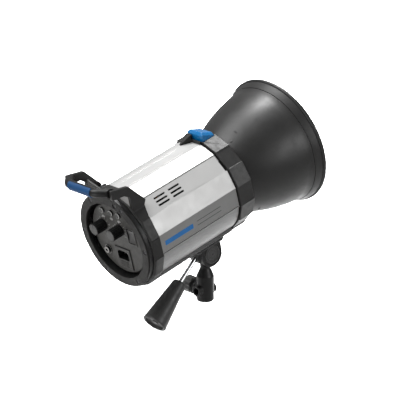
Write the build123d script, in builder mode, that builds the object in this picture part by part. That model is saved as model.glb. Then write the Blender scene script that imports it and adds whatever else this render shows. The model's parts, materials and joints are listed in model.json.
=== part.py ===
from build123d import *
import os
from math import cos, radians, sin

# Monolight strobe: a flash head on a tilting stand bracket, with a bell reflector.
# Row frame: +Z up, the lamp points towards +Y, origin at the mouth of the stand socket.
# Head measures: s runs forward along the optical axis from the rear bezel's face,
# u runs square to it, upwards, and x is the row's own X.

# ---------------------------------------------------------------- driving dimensions
TILT = 15.0              # nose-up angle of the head at rest
PIVOT_Z = 68.0           # tilt pivot above the socket's mouth
PIVOT_S = 137.0          # tilt pivot in head measures
PIVOT_U = -90.0

FACETS = 16              # sides of the housing's cross-section
HALF_FACET = 180.0 / FACETS
BODY_R = 65.5            # over the corners of the painted panels
WALL = 1.6               # sheet thickness of the shells
BODY_S0 = 14.0           # shells, from under the rear housing ...
BODY_S1 = 158.0          # ... to just behind the collar
SEAM = 56.25             # corner where top cover and side panels meet
SEAM_GAP = 0.8           # half of the open seam, in degrees
LABEL = HALF_FACET       # label facet is +-LABEL about the horizontal

HOUSING_R = 69.0         # rear housing and front collar, over the corners
STEP = 1.4               # height of the collar's raised pads
HOUSING_S0 = 7.0
HOUSING_S1 = 22.0
DRUM_R = 65.3            # round drum of the control panel
BEZEL_IN_R = 52.8
DISH_S = 14.0            # floor of the recess
PANEL_R = 49.0
PANEL_S = 8.0
PANEL_T = 2.0            # thickness of its plate
PANEL_WALL = 1.1         # and of its rim

COLLAR_S0 = 159.6
COLLAR_S1 = 184.0
COLLAR_BORE_R = 63.0
BAYONET_R = 50.6         # throat of the bayonet ring
NECK_R = 50.0            # reflector's neck

RIM_R = 90.0             # standard 180 mm reflector
RIM_S = 298.0
DISH_WALL = 1.2

ARM_X0 = 40.5            # handle arms
ARM_X1 = 45.5
BAR_R = 5.9              # handle bar
BAR_REACH = 16.4         # how far the bar stands out behind its ends
GRIP_HALF = 21.5         # straight middle with the soft insert
GRIP_R = 6.9

SOCKET_R = 11.8          # stand socket
SOCKET_H = 35.0
BORE_R = 8.05            # for a 16 mm stand spigot
BORE_DEPTH = 34.0
NECK_POST_R = 7.0
LUG_R = 12.0
LUG_HALF = 6.6
CHEEK_R = 17.4
CHEEK_X0 = 7.4
CHEEK_X1 = 14.0
PIN_R = 4.0
CLAMP_Z = 15.0           # height of the clamp bosses

# ---------------------------------------------------------------- frames of the head
C, S = cos(radians(TILT)), sin(radians(TILT))
FORWARD = Vector(0, C, S)
UPWARD = Vector(0, -S, C)
HEAD = Vector(0, 0, PIVOT_Z) - FORWARD * PIVOT_S - UPWARD * PIVOT_U
OPTICAL = Axis(HEAD, FORWARD)


def at(x, s, u):
    """Row position of a point given in head measures."""
    return HEAD + Vector(x, 0, 0) + FORWARD * s + UPWARD * u


def station(s):
    """Plane across the optical axis, facing forward: local x = -X, local y = u."""
    return Plane(origin=at(0, s, 0), x_dir=(-1, 0, 0), z_dir=FORWARD)


def rear_face(s):
    """Plane across the optical axis, facing rearward: local x = +X, local y = u."""
    return Plane(origin=at(0, s, 0), x_dir=(1, 0, 0), z_dir=-FORWARD)


def side_plane(x=0.0):
    """Plane along the optical axis, facing +X: local x = s, local y = u."""
    return Plane(origin=at(x, 0, 0), x_dir=FORWARD, z_dir=(1, 0, 0))


def deck(u):
    """Plane along the optical axis, facing up: local x = +X, local y = s."""
    return Plane(origin=at(0, 0, u), x_dir=(1, 0, 0), z_dir=UPWARD)


def sector(start, end, reach=110.0, mode=Mode.INTERSECT):
    """Pie slice from angle start to end, for trimming a ring to part of its turn."""
    steps = max(2, round((end - start) / 15))
    rim = [start + (end - start) * i / steps for i in range(steps + 1)]
    corners = [(reach * cos(radians(a)), reach * sin(radians(a))) for a in rim]
    Polygon((0, 0), *corners, align=None, mode=mode)


def padded_outline(outer):
    """Sixteen-sided outline whose every second facet is a raised pad."""
    RegularPolygon(outer - STEP, FACETS, rotation=HALF_FACET)
    for pad in range(FACETS // 2):
        start = HALF_FACET * (4 * pad + 1)
        ends = (radians(start), radians(start + 2 * HALF_FACET))
        Polygon((0, 0), *[(outer * cos(a), outer * sin(a)) for a in ends], align=None)


def facet_ring(outer, inner):
    """Sixteen-sided ring, with corners at odd multiples of half a facet."""
    RegularPolygon(outer, FACETS, rotation=HALF_FACET)
    RegularPolygon(inner, FACETS, rotation=HALF_FACET, mode=Mode.SUBTRACT)


def ring(outer, inner):
    Circle(outer)
    Circle(inner, mode=Mode.SUBTRACT)


pieces = {}


# ================================================================ painted body shells
with BuildPart() as top_cover:
    with BuildSketch(station(BODY_S0)):
        facet_ring(BODY_R, BODY_R - WALL)
        sector(SEAM + SEAM_GAP, 180 - SEAM - SEAM_GAP)
    extrude(amount=BODY_S1 - BODY_S0)
    # pressed stiffening beads along the top
    with BuildSketch(deck(BODY_R * cos(radians(HALF_FACET)))):
        with Locations((-8, 84), (8, 84)):
            SlotOverall(96, 2.4, rotation=90)
    extrude(amount=0.5)
pieces["top_cover"] = top_cover

VENT_ROWS = 3
VENT_ANGLES = [SEAM - HALF_FACET + 4.8 * (row - 1) for row in range(VENT_ROWS)]
VENT_COLUMNS = [(44.7, 63.8), (69.6, 88.2)]
VENT_WIDTH = 2.6


def side_panel():
    """Right side panel: three facets, a lip under the top cover, a label pocket, vents."""
    label_depth = 0.6
    upper_facet_end = BODY_S1 - 2.2
    with BuildPart() as panel:
        with BuildSketch(station(BODY_S0)):
            facet_ring(BODY_R, BODY_R - WALL)
            sector(180 - SEAM + SEAM_GAP, 180 + LABEL - 0.3)
        extrude(amount=BODY_S1 - BODY_S0)
        with BuildSketch(station(BODY_S0)):
            facet_ring(BODY_R - WALL, BODY_R - 2 * WALL)
            sector(180 - SEAM - 3, 180 - SEAM + 8)
        extrude(amount=BODY_S1 - BODY_S0)
        with BuildSketch(station(BODY_S0)):
            facet_ring(BODY_R + 1, BODY_R - label_depth)
            sector(180 - LABEL + 0.3, 180 + LABEL - 0.6)
        extrude(amount=BODY_S1 - BODY_S0, mode=Mode.SUBTRACT)
        with BuildSketch(station(upper_facet_end)):
            facet_ring(BODY_R + 1, BODY_R - WALL)
            sector(180 - SEAM, 180 - SEAM + 2 * HALF_FACET)
        extrude(amount=BODY_S1 - upper_facet_end, mode=Mode.SUBTRACT)
        for angle in VENT_ANGLES:
            facing = Vector(cos(radians(angle)), 0, 0) + UPWARD * sin(radians(angle))
            for s0, s1 in VENT_COLUMNS:
                centre = at(0, (s0 + s1) / 2, 0) + facing * (BODY_R + 1)
                with BuildSketch(Plane(origin=centre, x_dir=FORWARD, z_dir=facing)):
                    SlotOverall(s1 - s0, VENT_WIDTH)
                extrude(amount=-8, mode=Mode.SUBTRACT)
    return panel


def label_band():
    """Grey strip in the label pocket of the right side panel."""
    with BuildPart() as band:
        with BuildSketch(station(BODY_S0 + 8)):
            facet_ring(BODY_R - 0.1, BODY_R - 0.6)
            sector(180 - LABEL + 0.4, 180 + LABEL - 0.7)
        extrude(amount=BODY_S1 - BODY_S0 - 8)
    return band


def edge_rail():
    """Turned-out lip along the right lower edge of the body."""
    with BuildPart() as rail:
        with BuildSketch(station(HOUSING_S1 + 0.5)):
            ring(69.6, 65.0)
            sector(180 + 53.5, 180 + 57.5)
        extrude(amount=BODY_S1 - HOUSING_S1 - 0.5)
    return rail


def mirrored(source):
    """The same piece on the other side of the head."""
    with BuildPart() as twin:
        add(source.part)
        mirror(about=Plane.YZ, mode=Mode.REPLACE)
    return twin


def pair(source):
    """The piece and its twin on the other side, as one group."""
    with BuildPart() as both:
        add(source.part)
        mirror(about=Plane.YZ)
    return both


pieces["side_panel_right"] = side_panel()
pieces["side_panel_left"] = mirrored(pieces["side_panel_right"])
pieces["label_bands"] = pair(label_band())
pieces["edge_rails"] = pair(edge_rail())

with BuildPart() as lower_shell:
    with BuildSketch(station(BODY_S0)):
        ring(65.0, 65.0 - WALL)
        sector(-180 + LABEL + 0.3, -LABEL - 0.3)
    extrude(amount=BODY_S1 - BODY_S0)
    # bright bead along both upper edges
    for start in (-180 + LABEL + 0.3, -LABEL - 1.5):
        with BuildSketch(station(HOUSING_S1 + 0.5)):
            ring(66.3, 64.0)
            sector(start, start + 1.2)
        extrude(amount=BODY_S1 - HOUSING_S1 - 0.5)
pieces["lower_shell"] = lower_shell

with BuildPart() as front_seal:
    with BuildSketch(station(150)):
        facet_ring(62.2, 58.5)
    extrude(amount=16)
pieces["front_seal"] = front_seal

# ================================================================ rear housing and handle
with BuildPart() as housing_foot:
    # forward flare at the root of the right handle arm
    with BuildSketch(station(13.6)):
        facet_ring(HOUSING_R, BODY_R + 0.4)
        sector(180 - 62, 180 - 34)
    extrude(amount=20)
    with BuildSketch(side_plane()):
        Polygon((5, 30), (21, 38), (31, 58), (31, 66), (5, 66), align=None)
    extrude(amount=80, both=True, mode=Mode.INTERSECT)

DRUM_BORE_R = DRUM_R + 0.1
SHELL_SEAT = 13.5        # where the housing widens over the shells
with BuildPart() as handle_arm:
    with BuildSketch(side_plane(ARM_X0)):
        with BuildLine():
            Polyline((-18, 79.5), (-18, 92.5), (9, 86), (30.5, 57.5), (22, 44), (8, 44),
                     (8, 71), (0, 77), (-18, 79.5))
        make_face()
    extrude(amount=ARM_X1 - ARM_X0)
    fillet(handle_arm.edges().filter_by(Axis.X).sort_by(Axis.Z)[-2:], 2.0)
    with BuildSketch(station(5)):
        Circle(DRUM_BORE_R + 0.1)
    extrude(amount=8.5, mode=Mode.SUBTRACT)
    with BuildSketch(station(13)):
        RegularPolygon(BODY_R + 0.4, FACETS, rotation=HALF_FACET)
    extrude(amount=30, mode=Mode.SUBTRACT)

GUSSET_S = 8.6
GUSSET_T = 2.6
with BuildPart() as arm_gusset:
    # flat web between the arm's root and the round drum
    with BuildSketch(rear_face(GUSSET_S)):
        Polygon((13.5, 66.6), (ARM_X0, 74.3), (ARM_X0, 54.0), (28.0, 60.0), align=None)
        Circle(DRUM_BORE_R, mode=Mode.SUBTRACT)
    extrude(amount=-GUSSET_T)

LOWER_R = HOUSING_R + 0.8
with BuildPart() as rear_housing:
    with BuildSketch(station(HOUSING_S0)):
        RegularPolygon(HOUSING_R, FACETS, rotation=HALF_FACET)
    extrude(amount=HOUSING_S1 - HOUSING_S0)
    # the lower part stands a little proud of the upper one
    with BuildSketch(station(HOUSING_S0)):
        RegularPolygon(LOWER_R, FACETS, rotation=HALF_FACET)
        sector(-180 + HALF_FACET, -HALF_FACET)
    extrude(amount=HOUSING_S1 - HOUSING_S0)
    rear_edges = rear_housing.faces().sort_by(OPTICAL)[0].edges()
    chamfer(rear_edges, 1.6)
    with BuildSketch(station(HOUSING_S0)):
        Circle(DRUM_BORE_R)
    extrude(amount=HOUSING_S1 - HOUSING_S0, mode=Mode.SUBTRACT)
    with BuildSketch(station(SHELL_SEAT)):
        RegularPolygon(BODY_R + 0.35, FACETS, rotation=HALF_FACET)
    extrude(amount=20, mode=Mode.SUBTRACT)
    # seams across the band at the label facets
    with BuildSketch(station(HOUSING_S0 - 1)):
        for seam in (HALF_FACET, 180 - HALF_FACET):
            with Locations((HOUSING_R * cos(radians(seam)), HOUSING_R * sin(radians(seam)))):
                Rectangle(2.0, 0.8, rotation=seam)
    extrude(amount=40, mode=Mode.SUBTRACT)
    add(housing_foot.part)
    add(arm_gusset.part)
    add(handle_arm.part)
    mirror(about=Plane.YZ)
pieces["rear_housing"] = rear_housing

BAR_WAY = (UPWARD * 3.5 - FORWARD * 16).normalized()
BAR_ENDS = at(0, -11, 86.5)
BAR_MIDDLE = BAR_ENDS + BAR_WAY * BAR_REACH
BAR_CORNER = GRIP_HALF + 4.5
GRIP_SIDE = (12, 228)    # from the bar's top over its rear, in degrees

with BuildPart() as grip_insert:
    # half-round soft insert let into the rear of the bar
    with BuildSketch(Plane(BAR_MIDDLE - Vector(GRIP_HALF, 0, 0), x_dir=UPWARD, z_dir=(1, 0, 0))):
        ring(GRIP_R, BAR_R - 1.4)
        sector(*GRIP_SIDE)
    extrude(amount=2 * GRIP_HALF)

with BuildPart() as handle_bar:
    with BuildLine(Plane(BAR_ENDS, x_dir=(1, 0, 0), z_dir=Vector(1, 0, 0).cross(BAR_WAY))) as bow:
        FilletPolyline((-ARM_X1, 0), (-BAR_CORNER, BAR_REACH), (BAR_CORNER, BAR_REACH),
                       (ARM_X1, 0), radius=12)
    with BuildSketch(Plane(bow.line @ 0, z_dir=bow.line % 0)):
        Circle(BAR_R)
    sweep()
    with BuildSketch(Plane.YZ.offset(ARM_X0 - 0.1)):
        with Locations((BAR_ENDS.Y, BAR_ENDS.Z)):
            Circle(60)
    extrude(amount=-2 * ARM_X0 + 0.2, mode=Mode.INTERSECT)
    add(grip_insert.part, mode=Mode.SUBTRACT)
pieces["handle_bar"] = handle_bar
pieces["handle_grip"] = grip_insert

# ================================================================ control end
SCREW_PCR = 59.3
SCREW_COUNT = 6

BEZEL_T = 1.6            # thickness of the bezel ring on the drum
SENSOR = (18.6, 55.2)
SENSOR_R = 3.3
SCREW_HEAD_R = 2.4

with BuildPart() as rear_bezel:
    with BuildSketch(station(0)):
        ring(DRUM_R - 0.9, BEZEL_IN_R)
        with PolarLocations(SCREW_PCR, SCREW_COUNT):
            Circle(SCREW_HEAD_R + 0.2, mode=Mode.SUBTRACT)
    extrude(amount=BEZEL_T)
    with BuildSketch(rear_face(0)):
        with Locations(SENSOR):
            Circle(SENSOR_R + 0.1)
    extrude(amount=-BEZEL_T, mode=Mode.SUBTRACT)
    chamfer(rear_bezel.faces().sort_by(OPTICAL)[0].edges().sort_by(SortBy.LENGTH)[-1], 0.6)
pieces["rear_bezel"] = rear_bezel

with BuildPart() as bezel_screws:
    with BuildSketch(station(0.5)):
        with PolarLocations(SCREW_PCR, SCREW_COUNT):
            Circle(SCREW_HEAD_R)
    extrude(amount=1.1)
    with BuildSketch(station(0.5)):
        with PolarLocations(SCREW_PCR, SCREW_COUNT):
            Rectangle(3.2, 0.7)
            Rectangle(0.7, 3.2)
    extrude(amount=0.5, mode=Mode.SUBTRACT)
pieces["bezel_screws"] = bezel_screws

with BuildPart() as slave_sensor:
    with BuildSketch(rear_face(1.0)):
        with Locations(SENSOR):
            Circle(SENSOR_R)
    extrude(amount=-0.6)
pieces["slave_sensor"] = slave_sensor

with BuildPart() as panel_dish:
    # drum skirt behind the bezel, recess wall and recess floor, one black moulding
    with BuildSketch(station(BEZEL_T)):
        ring(DRUM_R, BEZEL_IN_R)
    extrude(amount=13.4 - BEZEL_T)
    with BuildSketch(station(4.6)):
        ring(DRUM_R - 2, 54.5)
    extrude(amount=10, mode=Mode.SUBTRACT)
    with BuildSketch(station(12)):
        ring(54.5, BEZEL_IN_R)
    extrude(amount=DISH_S + 1.5 - 12)
    with BuildSketch(station(DISH_S)):
        ring(54.5, PANEL_R - 3)
    extrude(amount=1.5)
pieces["panel_dish"] = panel_dish

BUTTON_U = 36.2
BUTTON_XS = (-20.5, -3.2, 11.2)
BUTTON_R = 3.9
BUTTON_HOLE_R = 4.3
BUTTON_OUT = 2.6         # how far the buttons stand out of the panel
FLANGE_S = PANEL_S + PANEL_T + 0.4
FLANGE_T = 1.2
LENS_U = 27.0
LENS_XS = (-20.8, -4.9, 9.4)
LENS_W, LENS_H = 3.0, 1.9
KNOBS = {"flash_knob": (-25.0, 14.3), "lamp_knob": (7.5, 14.3)}
KNOB_R = 8.0
SHAFT_R = 3.0
JACK = (-27.0, -23.0)
JACK_R = 3.9             # body of the sync jack behind the panel
JACK_HOLE_R = 2.2
INLET = (3.0, -28.0)
INLET_W, INLET_H = 29.5, 31.0
ROCKER = (28.0, 10.0)
ROCKER_W, ROCKER_H = 12.0, 20.0
FRAME_W, FRAME_H = 17.0, 25.0
FRAME_LIP = 1.7          # how far a frame overlaps the panel round its cut-out

with BuildPart() as control_panel:
    with BuildSketch(rear_face(PANEL_S)):
        Circle(PANEL_R)
    extrude(amount=-(DISH_S - PANEL_S))
    fillet(control_panel.faces().sort_by(OPTICAL)[0].edges(), 0.8)
    with BuildSketch(rear_face(PANEL_S + PANEL_T)):
        Circle(PANEL_R - PANEL_WALL)
    extrude(amount=-(DISH_S - PANEL_S - PANEL_T), mode=Mode.SUBTRACT)
    with BuildSketch(rear_face(PANEL_S)):
        with Locations(*[(x, BUTTON_U) for x in BUTTON_XS]):
            Circle(BUTTON_HOLE_R)
        with Locations(*KNOBS.values()):
            Circle(SHAFT_R + 0.8)
        with Locations(JACK):
            Circle(JACK_R + 0.1)
        with Locations(INLET):
            Rectangle(INLET_W - 2 * FRAME_LIP + 0.4, INLET_H - 2 * FRAME_LIP + 0.4)
        with Locations(ROCKER):
            Rectangle(FRAME_W - 2 * FRAME_LIP + 0.4, FRAME_H - 2 * FRAME_LIP + 0.4)
        with Locations(*[(x, LENS_U) for x in LENS_XS]):
            Ellipse(LENS_W, LENS_H)
    extrude(amount=-PANEL_T, mode=Mode.SUBTRACT)
pieces["control_panel"] = control_panel

LENS_OUT = 0.4
with BuildPart() as indicator_lenses:
    with BuildSketch(rear_face(PANEL_S - LENS_OUT)):
        with Locations(*[(x, LENS_U) for x in LENS_XS]):
            Ellipse(LENS_W, LENS_H)
    extrude(amount=-(LENS_OUT + PANEL_T))
pieces["indicator_lenses"] = indicator_lenses


def button(x):
    """Push button with a retaining flange behind the panel and a plunger to the board."""
    end_s = PANEL_S - BUTTON_OUT
    with BuildPart() as cap:
        with BuildSketch(rear_face(end_s)):
            with Locations((x, BUTTON_U)):
                Circle(BUTTON_R)
        extrude(amount=-(FLANGE_S - end_s))
        fillet(cap.faces().sort_by(OPTICAL)[0].edges(), 0.8)
        with BuildSketch(rear_face(FLANGE_S)):
            with Locations((x, BUTTON_U)):
                Circle(BUTTON_R + 0.7)
        extrude(amount=-FLANGE_T)
        with BuildSketch(rear_face(FLANGE_S + FLANGE_T)):
            with Locations((x, BUTTON_U)):
                Circle(1.6)
        extrude(amount=-4.0)
    return cap


for label, x in zip(("test_button", "sound_button", "lamp_button"), BUTTON_XS):
    pieces[label] = button(x)

KNOB_S = -9.0            # end face of the knobs
KNOB_FOOT_S = PANEL_S - 0.6
KNOB_LIP = 1.1           # rim round the end disc
FLUTES = 18


def knob(x, u):
    """Long fluted control knob with its shaft."""
    with BuildPart() as body:
        with BuildSketch(rear_face(KNOB_S)):
            with Locations((x, u)):
                Circle(KNOB_R)
        extrude(amount=-(KNOB_FOOT_S - KNOB_S))
        with BuildSketch(rear_face(KNOB_S)):
            with Locations((x, u)):
                with PolarLocations(KNOB_R + 0.3, FLUTES):
                    Circle(0.7)
        extrude(amount=-(PANEL_S - 3.0 - KNOB_S), mode=Mode.SUBTRACT)
        with BuildSketch(rear_face(KNOB_S)):
            with Locations((x, u)):
                Circle(KNOB_R - KNOB_LIP)
        extrude(amount=-0.8, mode=Mode.SUBTRACT)
        with BuildSketch(rear_face(KNOB_FOOT_S)):
            with Locations((x, u)):
                Circle(SHAFT_R)
        extrude(amount=-9.0)
    return body


def knob_cap(x, u):
    """Grey end disc with a pointer line."""
    with BuildPart() as disc:
        with BuildSketch(rear_face(KNOB_S - 0.3)):
            with Locations((x, u)):
                Circle(KNOB_R - KNOB_LIP)
        extrude(amount=-1.1)
        with BuildSketch(rear_face(KNOB_S - 0.3)):
            with Locations((x, u + 4.2)):
                Rectangle(0.9, 4.6)
        extrude(amount=-0.4, mode=Mode.SUBTRACT)
    return disc


for label, place in KNOBS.items():
    pieces[label] = knob(*place)
    pieces[f"{label}_cap"] = knob_cap(*place)

BOARD_S = 20.0
with BuildPart() as potentiometers:
    with BuildSketch(rear_face(BOARD_S)):
        with Locations(*KNOBS.values()):
            Circle(8.0)
    extrude(amount=7.0)
    with BuildSketch(rear_face(BOARD_S - 7.0)):
        with Locations(*KNOBS.values()):
            Circle(SHAFT_R + 0.05)
    extrude(amount=-5.0, mode=Mode.SUBTRACT)
pieces["potentiometers"] = potentiometers

CONTROL_BOARD_T = 1.6
with BuildPart() as control_board:
    with BuildSketch(station(BOARD_S)):
        Circle(50.0)
    extrude(amount=CONTROL_BOARD_T)
    with BuildSketch(rear_face(BOARD_S)):
        with Locations(INLET):
            Rectangle(INLET_W, INLET_H)
        with Locations(ROCKER):
            Rectangle(FRAME_W, FRAME_H)
        with Locations(JACK):
            Circle(JACK_R + 1.1)
    extrude(amount=-CONTROL_BOARD_T, mode=Mode.SUBTRACT)
pieces["control_board"] = control_board

JACK_OUT = 4.0           # how far its threaded nose stands out
JACK_DEPTH = 14.0
with BuildPart() as sync_jack:
    with BuildSketch(rear_face(PANEL_S - 1.2)):
        with Locations(JACK):
            Circle(6.4)
    extrude(amount=-1.2)
    with BuildSketch(rear_face(PANEL_S - 1.2)):
        with Locations(JACK):
            Circle(5.6)
    extrude(amount=-0.7, mode=Mode.SUBTRACT)
    with BuildSketch(rear_face(PANEL_S - JACK_OUT)):
        with Locations(JACK):
            Circle(4.6)
    extrude(amount=-JACK_OUT)
    with BuildSketch(rear_face(PANEL_S)):
        with Locations(JACK):
            Circle(JACK_R)
    extrude(amount=-(JACK_DEPTH + 2))
    chamfer(sync_jack.faces().sort_by(OPTICAL)[0].edges(), 0.4)
    with BuildSketch(rear_face(PANEL_S - JACK_OUT)):
        with Locations(JACK):
            Circle(JACK_HOLE_R)
    extrude(amount=-(JACK_OUT + JACK_DEPTH), mode=Mode.SUBTRACT)
pieces["sync_jack"] = sync_jack

SOCKET_W, SOCKET_T = 21.0, 12.6
SOCKET_U = INLET[1] + 4.0
SOCKET_LEFT, SOCKET_RIGHT = INLET[0] - SOCKET_W / 2, INLET[0] + SOCKET_W / 2
SOCKET_FLOOR, SOCKET_ROOF = SOCKET_U - SOCKET_T / 2, SOCKET_U + SOCKET_T / 2
KEY_CUT = 3.0            # cut upper corners of the socket
INLET_OUT = 1.4          # how far its frame stands out
INLET_DEPTH = 14.0
DRAWER = (INLET[0], INLET[1] - 8.4)
DRAWER_W, DRAWER_H = 21.5, 8.6
with BuildPart() as mains_inlet:
    with BuildSketch(rear_face(PANEL_S - INLET_OUT)):
        with Locations(INLET):
            RectangleRounded(INLET_W, INLET_H, 1.5)
    extrude(amount=-INLET_OUT)
    chamfer(mains_inlet.faces().sort_by(OPTICAL)[0].edges(), 0.9)
    with BuildSketch(rear_face(PANEL_S)):
        with Locations(INLET):
            Rectangle(INLET_W - 2 * FRAME_LIP, INLET_H - 2 * FRAME_LIP)
    extrude(amount=-(INLET_DEPTH + 2))
    with BuildSketch(rear_face(PANEL_S - INLET_OUT)):
        Polygon((SOCKET_LEFT, SOCKET_FLOOR), (SOCKET_RIGHT, SOCKET_FLOOR),
                (SOCKET_RIGHT, SOCKET_ROOF - KEY_CUT), (SOCKET_RIGHT - KEY_CUT, SOCKET_ROOF),
                (SOCKET_LEFT + KEY_CUT, SOCKET_ROOF), (SOCKET_LEFT, SOCKET_ROOF - KEY_CUT),
                align=None)
        with Locations(DRAWER):
            Rectangle(DRAWER_W, DRAWER_H)
    extrude(amount=-INLET_DEPTH, mode=Mode.SUBTRACT)
    with BuildSketch(rear_face(PANEL_S - INLET_OUT + INLET_DEPTH)):
        with Locations((INLET[0] - 6.5, SOCKET_U - 1.5), (INLET[0], SOCKET_U + 1.5),
                       (INLET[0] + 6.5, SOCKET_U - 1.5)):
            Rectangle(1.8, 4.0)
    extrude(amount=7.0)
pieces["mains_inlet"] = mains_inlet

DRAWER_S = PANEL_S - 1.6
DRAWER_GROOVES = 4
with BuildPart() as fuse_drawer:
    with BuildSketch(rear_face(DRAWER_S)):
        with Locations(DRAWER):
            Rectangle(DRAWER_W - 0.4, DRAWER_H - 0.4)
    extrude(amount=-(INLET_DEPTH - 1))
    with BuildSketch(rear_face(DRAWER_S)):
        with Locations(DRAWER):
            with GridLocations(0, 2.0, 1, DRAWER_GROOVES):
                Rectangle(DRAWER_W - 4, 0.8)
    extrude(amount=-0.7, mode=Mode.SUBTRACT)
pieces["fuse_drawer"] = fuse_drawer

ROCKER_PIVOT_S = PANEL_S + 5.0
ROCKER_PIVOT_R = 1.5
ROCKER_END = 9.4         # half the length of the rocker's face
FRAME_OUT = 1.0
FRAME_DEPTH = 14.0
FRAME_GAP = 0.4          # between the rocker and its frame
with BuildPart() as rocker_frame:
    with BuildSketch(rear_face(PANEL_S - FRAME_OUT)):
        with Locations(ROCKER):
            RectangleRounded(FRAME_W, FRAME_H, 1.2)
    extrude(amount=-FRAME_OUT)
    chamfer(rocker_frame.faces().sort_by(OPTICAL)[0].edges(), 0.6)
    with BuildSketch(rear_face(PANEL_S)):
        with Locations(ROCKER):
            Rectangle(FRAME_W - 2 * FRAME_LIP, FRAME_H - 2 * FRAME_LIP)
    extrude(amount=-FRAME_DEPTH)
    with BuildSketch(rear_face(PANEL_S - FRAME_OUT)):
        with Locations(ROCKER):
            Rectangle(ROCKER_W + 2 * FRAME_GAP, ROCKER_H + 2 * FRAME_GAP)
    extrude(amount=-(FRAME_DEPTH - 2), mode=Mode.SUBTRACT)
    # pivot stubs on the frame's inner walls
    with BuildSketch(side_plane(ROCKER[0] - ROCKER_W / 2 - FRAME_GAP)):
        with Locations((ROCKER_PIVOT_S, ROCKER[1])):
            Circle(ROCKER_PIVOT_R)
    extrude(amount=FRAME_GAP + 1.2)
    with BuildSketch(side_plane(ROCKER[0] + ROCKER_W / 2 + FRAME_GAP)):
        with Locations((ROCKER_PIVOT_S, ROCKER[1])):
            Circle(ROCKER_PIVOT_R)
    extrude(amount=-(FRAME_GAP + 1.2))
pieces["rocker_frame"] = rocker_frame

ROCKER_FACE_S = ROCKER_PIVOT_S - 6.0
with BuildPart() as power_rocker:
    with BuildSketch(side_plane(ROCKER[0] - ROCKER_W / 2)):
        with BuildLine():
            Polyline((ROCKER_FACE_S, ROCKER[1] - ROCKER_END), (ROCKER_PIVOT_S + 2, ROCKER[1] - 5),
                     (ROCKER_PIVOT_S + 2, ROCKER[1] + 5), (ROCKER_FACE_S, ROCKER[1] + ROCKER_END))
            ThreePointArc((ROCKER_FACE_S, ROCKER[1] + ROCKER_END), (ROCKER_FACE_S + 1.4, ROCKER[1]),
                          (ROCKER_FACE_S, ROCKER[1] - ROCKER_END))
        make_face()
    extrude(amount=ROCKER_W)
    with BuildSketch(side_plane(ROCKER[0] - ROCKER_W / 2)):
        with Locations((ROCKER_PIVOT_S, ROCKER[1])):
            Circle(ROCKER_PIVOT_R + 0.05)
    extrude(amount=ROCKER_W, mode=Mode.SUBTRACT)
pieces["power_rocker"] = power_rocker

# ================================================================ front collar and lamp seat
WINDOW_X = 14.6          # window for the latch button
WINDOW_S = (160.6, 181.4)

with BuildPart() as front_collar:
    with BuildSketch(station(COLLAR_S0)):
        padded_outline(HOUSING_R)
    extrude(amount=COLLAR_S1 - COLLAR_S0)
    chamfer(front_collar.faces().sort_by(OPTICAL)[-1].edges(), 0.5)
    with BuildSketch(station(COLLAR_S0)):
        Circle(COLLAR_BORE_R)
    extrude(amount=COLLAR_S1 - COLLAR_S0, mode=Mode.SUBTRACT)
    with BuildSketch(deck(0)):
        with Locations((0, sum(WINDOW_S) / 2)):
            Rectangle(2 * WINDOW_X + 1, WINDOW_S[1] - WINDOW_S[0])
    extrude(amount=90, mode=Mode.SUBTRACT)
pieces["front_collar"] = front_collar

BAYONET_S = 178.0
BAYONETS = 3             # claws of the bayonet, and entry slots for them
with BuildPart() as bayonet_ring:
    with BuildSketch(station(BAYONET_S)):
        ring(COLLAR_BORE_R - 0.05, BAYONET_R)
    extrude(amount=COLLAR_S1 - BAYONET_S - 0.6)
    with BuildSketch(station(BAYONET_S)):
        with PolarLocations(BAYONET_R, BAYONETS, start_angle=11):
            Rectangle(6.6, 12)
    extrude(amount=COLLAR_S1 - BAYONET_S, mode=Mode.SUBTRACT)
pieces["bayonet_ring"] = bayonet_ring

LAMP_PLATE_S = 167.0
LAMP_PLATE_T = 2.0
with BuildPart() as lamp_plate:
    with BuildSketch(station(LAMP_PLATE_S)):
        Circle(COLLAR_BORE_R - 0.05)
        Circle(8, mode=Mode.SUBTRACT)
        with PolarLocations(45, 12):
            SlotOverall(12, 3, rotation=90, mode=Mode.SUBTRACT)
    extrude(amount=LAMP_PLATE_T)
pieces["lamp_plate"] = lamp_plate

TUBE_R = 24.0            # flash tube: radius of its ring and of its glass
GLASS_R = 4.0
TUBE_S = 206.0
TUBE_SOCKET_T = 8.0
SOCKETS_S = LAMP_PLATE_S + LAMP_PLATE_T
with BuildPart() as tube_socket:
    with BuildSketch(station(SOCKETS_S)):
        ring(32, 16)
    extrude(amount=TUBE_SOCKET_T)
    fillet(tube_socket.faces().sort_by(OPTICAL)[-1].edges(), 1.2)
pieces["tube_socket"] = tube_socket

with BuildPart() as flash_tube:
    half_gap = 18.0
    with BuildLine(station(TUBE_S)) as tube_path:
        CenterArc((0, 0), TUBE_R, 270 + half_gap, 360 - 2 * half_gap)
    with BuildSketch(Plane(origin=tube_path.line @ 0, z_dir=tube_path.line % 0)):
        Circle(GLASS_R)
    sweep()
    for end in (tube_path.line @ 0, tube_path.line @ 1):
        with BuildSketch(Plane(origin=end + FORWARD * 2.0, x_dir=(1, 0, 0), z_dir=-FORWARD)):
            Circle(GLASS_R)
        extrude(amount=TUBE_S + 2.0 - SOCKETS_S - TUBE_SOCKET_T)
pieces["flash_tube"] = flash_tube

LAMP_S = SOCKETS_S + 10.0
LAMP_BASE_R = 8.0
with BuildPart() as lamp_holder:
    with BuildSketch(station(LAMP_PLATE_S - 4)):
        Circle(LAMP_BASE_R - 0.1)
    extrude(amount=14)
    with BuildSketch(station(SOCKETS_S)):
        Circle(13)
    extrude(amount=LAMP_S - SOCKETS_S)
pieces["lamp_holder"] = lamp_holder

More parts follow.
